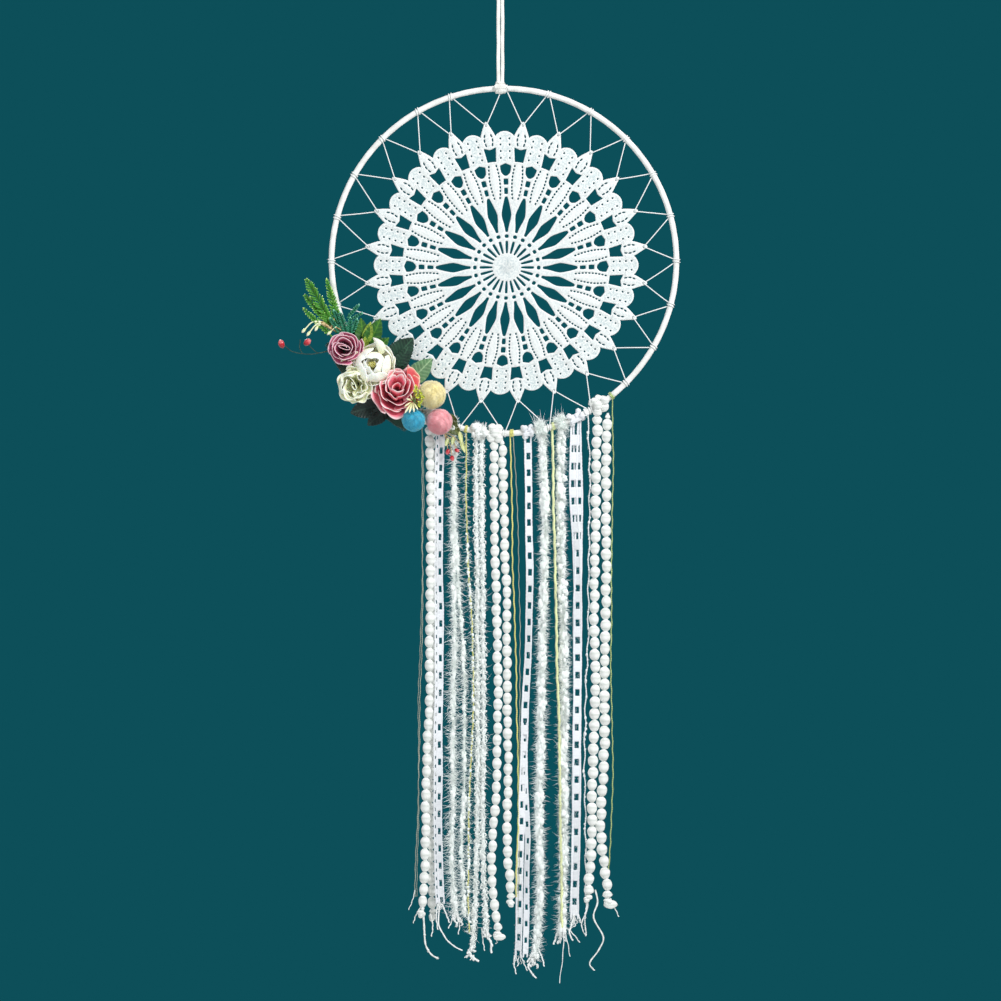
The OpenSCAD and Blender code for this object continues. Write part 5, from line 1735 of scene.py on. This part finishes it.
def ferns():
    rng = np.random.default_rng(41)
    y = FRONT - 0.4
    stem, knobs = Shape(), Shape()
    for x, z, angle, length, width, bow, forward in (
            (-143, -62, 121, 52, 15, -1.5, 5), (-141, -60, 106, 45, 9, -2, 3), (-146, -66, 133, 35, 8, 1.5, 6),
            (-139, -60, 101, 37, 7, 1.5, 2), (-144, -60, 128, 40, 11, 2, 1)):
        sprig(stem, knobs, at(x, y, z), angle, length, width, rng, bow, forward=forward)
    put_for("fern_sprigs", "fronds", stem, FERN)
    make("fern_sprigs_tips", knobs, FERN_TIP)
    stem, knobs = Shape(), Shape()
    for x, z, angle, length, width, forward in ((-134, -66, 103, 22, 9, 3), (-132, -66, 84, 17, 8, 1.5),
                                                (-137, -66, 122, 20, 8, 4),
                                                (-131, -64, 64, 15, 7, 2), (-138, -58, 112, 17, 7, 2),
                                                (-134, -49, 44, 15, 5, 0.2),
                                                (-131, -50, 22, 11, 4, 0.1)):
        sprig(stem, knobs, at(x, y - 0.8, z), angle, length, width, rng, 1, 2.0, 0.42, forward)
    put_for("juniper_sprigs", "fronds", stem, TEAL)
    make("juniper_sprigs_tips", knobs, shiny("juniper_tip", (10, 100, 70), (40, 150, 110), (140, 210, 180), 0.4))


def along_ways(d):
    """Three directions, the last along d."""
    d = unit(np.asarray(d, float))
    x = unit(np.cross(d, [0.2, 1, 0.1]))
    return np.array([x, np.cross(d, x), d])


def bud(shape, tip, way, length, r, tone=(0.2, 1.0)):
    """A long bud: fat beyond its middle, with a pointed end."""
    way = unit(np.asarray(way, float))
    q = np.linspace(0, 1, 12)
    path = tip - np.outer(1 - q, way) * length
    fat = r * (0.28 + 0.72 * np.sin(math.pi * q ** 1.25) ** 0.8) * np.clip((1 - q) * 6 + 0.15, 0, 1)
    tube(shape, path, fat, 10, tone=tone[0] + (tone[1] - tone[0]) * q)


def small_things():
    rng = np.random.default_rng(43)
    y = FRONT - 0.8
    # twig
    s = Shape()
    tube(s, bent((-140, y - 1, -60.5), (-146, y - 1.6, -59), (-151, y - 2, -56), (-156.5, y - 2.4, -52.5)),
         np.interp(np.linspace(0, 1, 25), [0, 0.5, 0.8, 0.93, 1], [0.9, 1.1, 1.6, 1.7, 0.8]), 10)
    tube(s, bent((-148, y - 1.8, -58), (-146, y - 2.4, -54), (-145, y - 2.6, -49.5)), np.linspace(0.9, 0.5, 25), 8)
    tube(s, bent((-146, y - 1.6, -58.5), (-142.5, y - 3, -57.5), (-139, y - 3, -59.5)), np.linspace(0.7, 0.4, 25), 8)
    put_for("twig", "wood", s, TAN)
    # pale buds on thin stems
    s, buds = Shape(), Shape()
    for points, r in ((((-150, y - 1, -57), (-157, y - 2.5, -52), (-164, y - 3.5, -53), (-169.5, y - 4, -58.5)),
                       0.55),
                      (((-150, y - 1, -57), (-157, y - 3, -53.5), (-161.5, y - 4, -56), (-165.5, y - 4.5, -61)),
                       0.55),
                      (((-139, y - 1, -57), (-143, y - 3, -56.5), (-147.5, y - 4, -60.5)), 0.38),
                      (((-150, y - 1, -57), (-156, y - 2.5, -52.5), (-159, y - 3.5, -56.5)), 0.38)):
        path = bent(*points)
        tube(s, path, r, 7, tone=0.7)
        way = path[-1] - path[-4]
        bud(buds, path[-1] + unit(way) * 4.6, way, 5.6, 1.25)
    for k in range(7):
        bud(buds, at(-157 - rng.uniform(0, 5), y - 3 - rng.uniform(0, 1.4), -51.5 - rng.uniform(0, 3.5)),
            (rng.uniform(-1, 0.4), -0.4, rng.uniform(-0.6, 0.9)), 3.2, 0.8)
    make("pale_bud_stems", s, PALE)
    make("pale_buds", buds, PALE)
    # left berries
    s, fruit = Shape(), Shape()
    for points in (((-146, y, -76), (-158, y - 2, -79), (-164, y - 1.6, -75), (-167, y - 1, -71.5)),
                   ((-146, y, -76), (-164, y - 2.4, -80), (-180, y - 2, -78), (-187.5, y - 1, -72.5)),
                   ((-172, y - 2.3, -79.6), (-174.5, y - 2.6, -74.5), (-174, y - 2.8, -69.5))):
        tube(s, bent(*points), 0.34, 7)
    for x, z, tilt, r in ((-190, -71.3, 1.9, 3.0), (-168, -69.8, 0.7, 3.0)):
        d = np.array([math.cos(tilt), -0.15, math.sin(tilt)])
        # the tone running along the berry paints a dark shaded end and a pale highlight at the other
        ball(fruit, at(x, y - 1, z), (r * 0.86, r * 0.86, r * 1.22), rng, 20, 13, 0.05, (0.1, 0.85),
             ways=along_ways(d))
        ball(fruit, at(x, y - 1, z) + d * r * 1.15, (0.5, 0.5, 0.35), rng, 8, 5, 0.2, 0.0, ways=along_ways(d))
    ball(s, at(-174, y - 2.8, -68.8), (0.5, 0.5, 1.5), rng, 8, 6, 0.1, 0.5)
    put_for("berry_spray_left", "stems", s, STEM)
    make("berry_spray_left_fruit", fruit, RED)
    # lower berries with their bits of leaf
    s, fruit, bits = Shape(), Shape(), Shape()
    y = box("berry_spray_lower")[0][1] + 2.2
    for points in (((-51, y + 2, -147), (-49, y, -155), (-48, y, -161.5)),
                   ((-51, y + 2, -147), (-46, y - 1, -158), (-44.5, y, -166)),
                   ((-50.5, y + 2, -148), (-44, y - 1, -154), (-40.5, y, -160)),
                   ((-50.5, y + 2, -147), (-43, y - 1.2, -150.5), (-37, y - 0.6, -156.5))):
        tube(s, bent(*points), 0.36, 7)
    for x, z, tilt, r in ((-48, -163.3, -1.9, 2.2), (-44.3, -168.8, -1.4, 2.2), (-40.3, -162.2, -0.5, 2.0)):
        d = np.array([math.cos(tilt), -0.2, math.sin(tilt)])
        # the tone running along the berry paints a dark shaded end and a pale highlight at the other
        ball(fruit, at(x, y, z), (r * 0.85, r * 0.85, r * 1.2), rng, 18, 12, 0.06, (0.15, 0.8), ways=along_ways(d))
    put_for("berry_spray_lower", "stems", s, TAN)
    make("berry_spray_lower_fruit", fruit, RED)
    for x, z, angle, length in ((-38, -146, -78, 11), (-37, -153, -72, 12), (-43, -150, -100, 8),
                                (-47.5, -152, -110, 7)):
        leaf(bits, at(x, y - 0.8, z), angle, length, 3.6, 4, 0.8, ripple=0.2)
    thicken(make("berry_spray_lower_leaves", bits, leafy("sprig_yellow", (120, 140, 66), (196, 202, 120),
                                                         (236, 238, 190), 0.3)), 0.28)


ferns()
small_things()


def bud_sprig():
    """Lime clusters between the rose and the poms, and cream buds that point down
    over the blue one."""
    rng = np.random.default_rng(47)
    front = box("bud_sprig")[0][1]
    s, green, cream = Shape(), Shape(), Shape()
    fork = (-77.5, front + 4.5, -120.5)
    tube(s, bent((-72.4, -4, -125.8), (-74.5, front + 12, -122), fork), np.linspace(0.8, 0.55, 25), 8)
    for x, y, z in ((-74.5, 2.5, -109.5), (-71.5, 1.5, -113.5), (-69.2, 1.8, -117.2), (-71, 1.2, -121.5),
                    (-73.5, 2, -117),
                    (-75.5, 1.5, -112.5), (-72.5, 2.5, -124.5)):
        end = (x, front + y + 1.2, z)
        tube(s, bent(fork, ((x + fork[0]) / 2, front + 2.5, (z + fork[2]) / 2 + 0.8), end), 0.33, 6)
        for k in range(9):
            d = unit(rng.normal(size=3) * [1, 0.7, 1] + [0.1, -0.5, 0])
            ball(green, at(*end) + d * rng.uniform(0.8, 2.1), (0.62, 0.62, 1.0), rng, 9, 6, 0.12, rng.uniform(0.1, 1),
                 ways=along_ways(d))
    for x, y, z, r in ((-84.3, 1.2, -131.2, 1.15), (-80.4, 0.2, -131, 1.15), (-76.2, 0.4, -130.4, 1.05),
                       (-72.8, 0.8, -128.2, 1.0),
                       (-84.6, 2, -125.4, 1.0), (-82.8, 2.6, -118.6, 0.95), (-79.4, 2.4, -114.8, 0.85)):
        tip = at(x, front + y, z)
        way = tip - at(*fork)
        bud(cream, tip, way, np.linalg.norm(way) * 0.85, r * 0.82, (0.1, 0.95))
    put_for("bud_sprig", "stems", s, leafy("sprig_green", (40, 70, 24), (96, 124, 44), (170, 190, 90)))
    make("bud_sprig_clusters", green, shiny("lime_bud", (70, 96, 4), (190, 204, 20), (244, 240, 96), 0.4))
    make("bud_sprig_buds", cream, shiny("cream_bud", (176, 178, 100), (236, 232, 178), (253, 251, 228), 0.4))


bud_sprig()


def felt():
    """The backing: a crescent of felt with a napped edge."""
    lo, hi = box("felt_backing")
    y0, y1 = lo[1] + 0.05, hi[1] - 0.02
    r_in, r_out = 133.5, 168.5
    a0, a1 = math.radians(205), math.radians(240)
    rng = np.random.default_rng(53)
    n, m = 150, 44
    a = np.linspace(a0, a1, n)[:, None]
    ends = np.sqrt(np.clip(1 - (abs(np.linspace(-1, 1, n)) ** 9), 0, 1))[:, None]
    t = np.linspace(-1, 1, m)[None, :]
    mid, half = (r_in + r_out) / 2, (r_out - r_in) / 2 * (0.93 + 0.07 * ends)
    r = mid + t * half + 0.25 * np.sin(a * 90 + t) * abs(t) ** 8
    edge = np.minimum(1 - abs(t) ** 14, ends ** 0.5)
    s = Shape()
    for face, flip in ((y0, False), (y1, True)):
        y = (y0 + y1) / 2 + (face - (y0 + y1) / 2) * np.sqrt(np.clip(edge, 0, 1)) + 0 * a
        P = np.stack([HC[0] + r * np.cos(a), np.broadcast_to(y, r.shape), HC[2] + r * np.sin(a)], -1)
        grid(s, P[:, ::-1] if flip else P, 0.4, a * 100 + 0 * t)
    k = 2600
    aa, side = rng.uniform(a0 + 0.004, a1 - 0.004, k), rng.choice([-1, 1], k)
    rr = mid + side * (r_out - r_in) / 2 * 0.985
    root = np.stack([HC[0] + rr * np.cos(aa), rng.uniform(y0 + 0.1, y1 - 0.1, k), HC[2] + rr * np.sin(aa)], 1)
    way = np.stack([side * np.cos(aa), rng.normal(0, 0.4, k), side * np.sin(aa)], 1) + rng.normal(0, 0.4, (k, 3))
    nap = Shape()
    hairs(nap, root, way, rng.uniform(0.5, 1.3, k), 0.07, rng.uniform(-0.6, 0.6, k), rng)
    look = suede("felt", (30, 66, 52), (16, 42, 34))
    ob = put_for("felt_backing", "pad", s, look)
    weld(ob)
    make("felt_backing_nap", nap, look)


felt()


# ---- Floor ----

plate = bpy.data.meshes.new("floor")
bm = bmesh.new()
bmesh.ops.create_circle(bm, cap_ends=True, radius=3.0, segments=96)
bm.to_mesh(plate)
bm.free()
floor = bpy.data.objects.new("floor", plate)
bpy.context.collection.objects.link(floor)
floor.location = (0, 0, -1.35)
plate.materials.append(plaster())
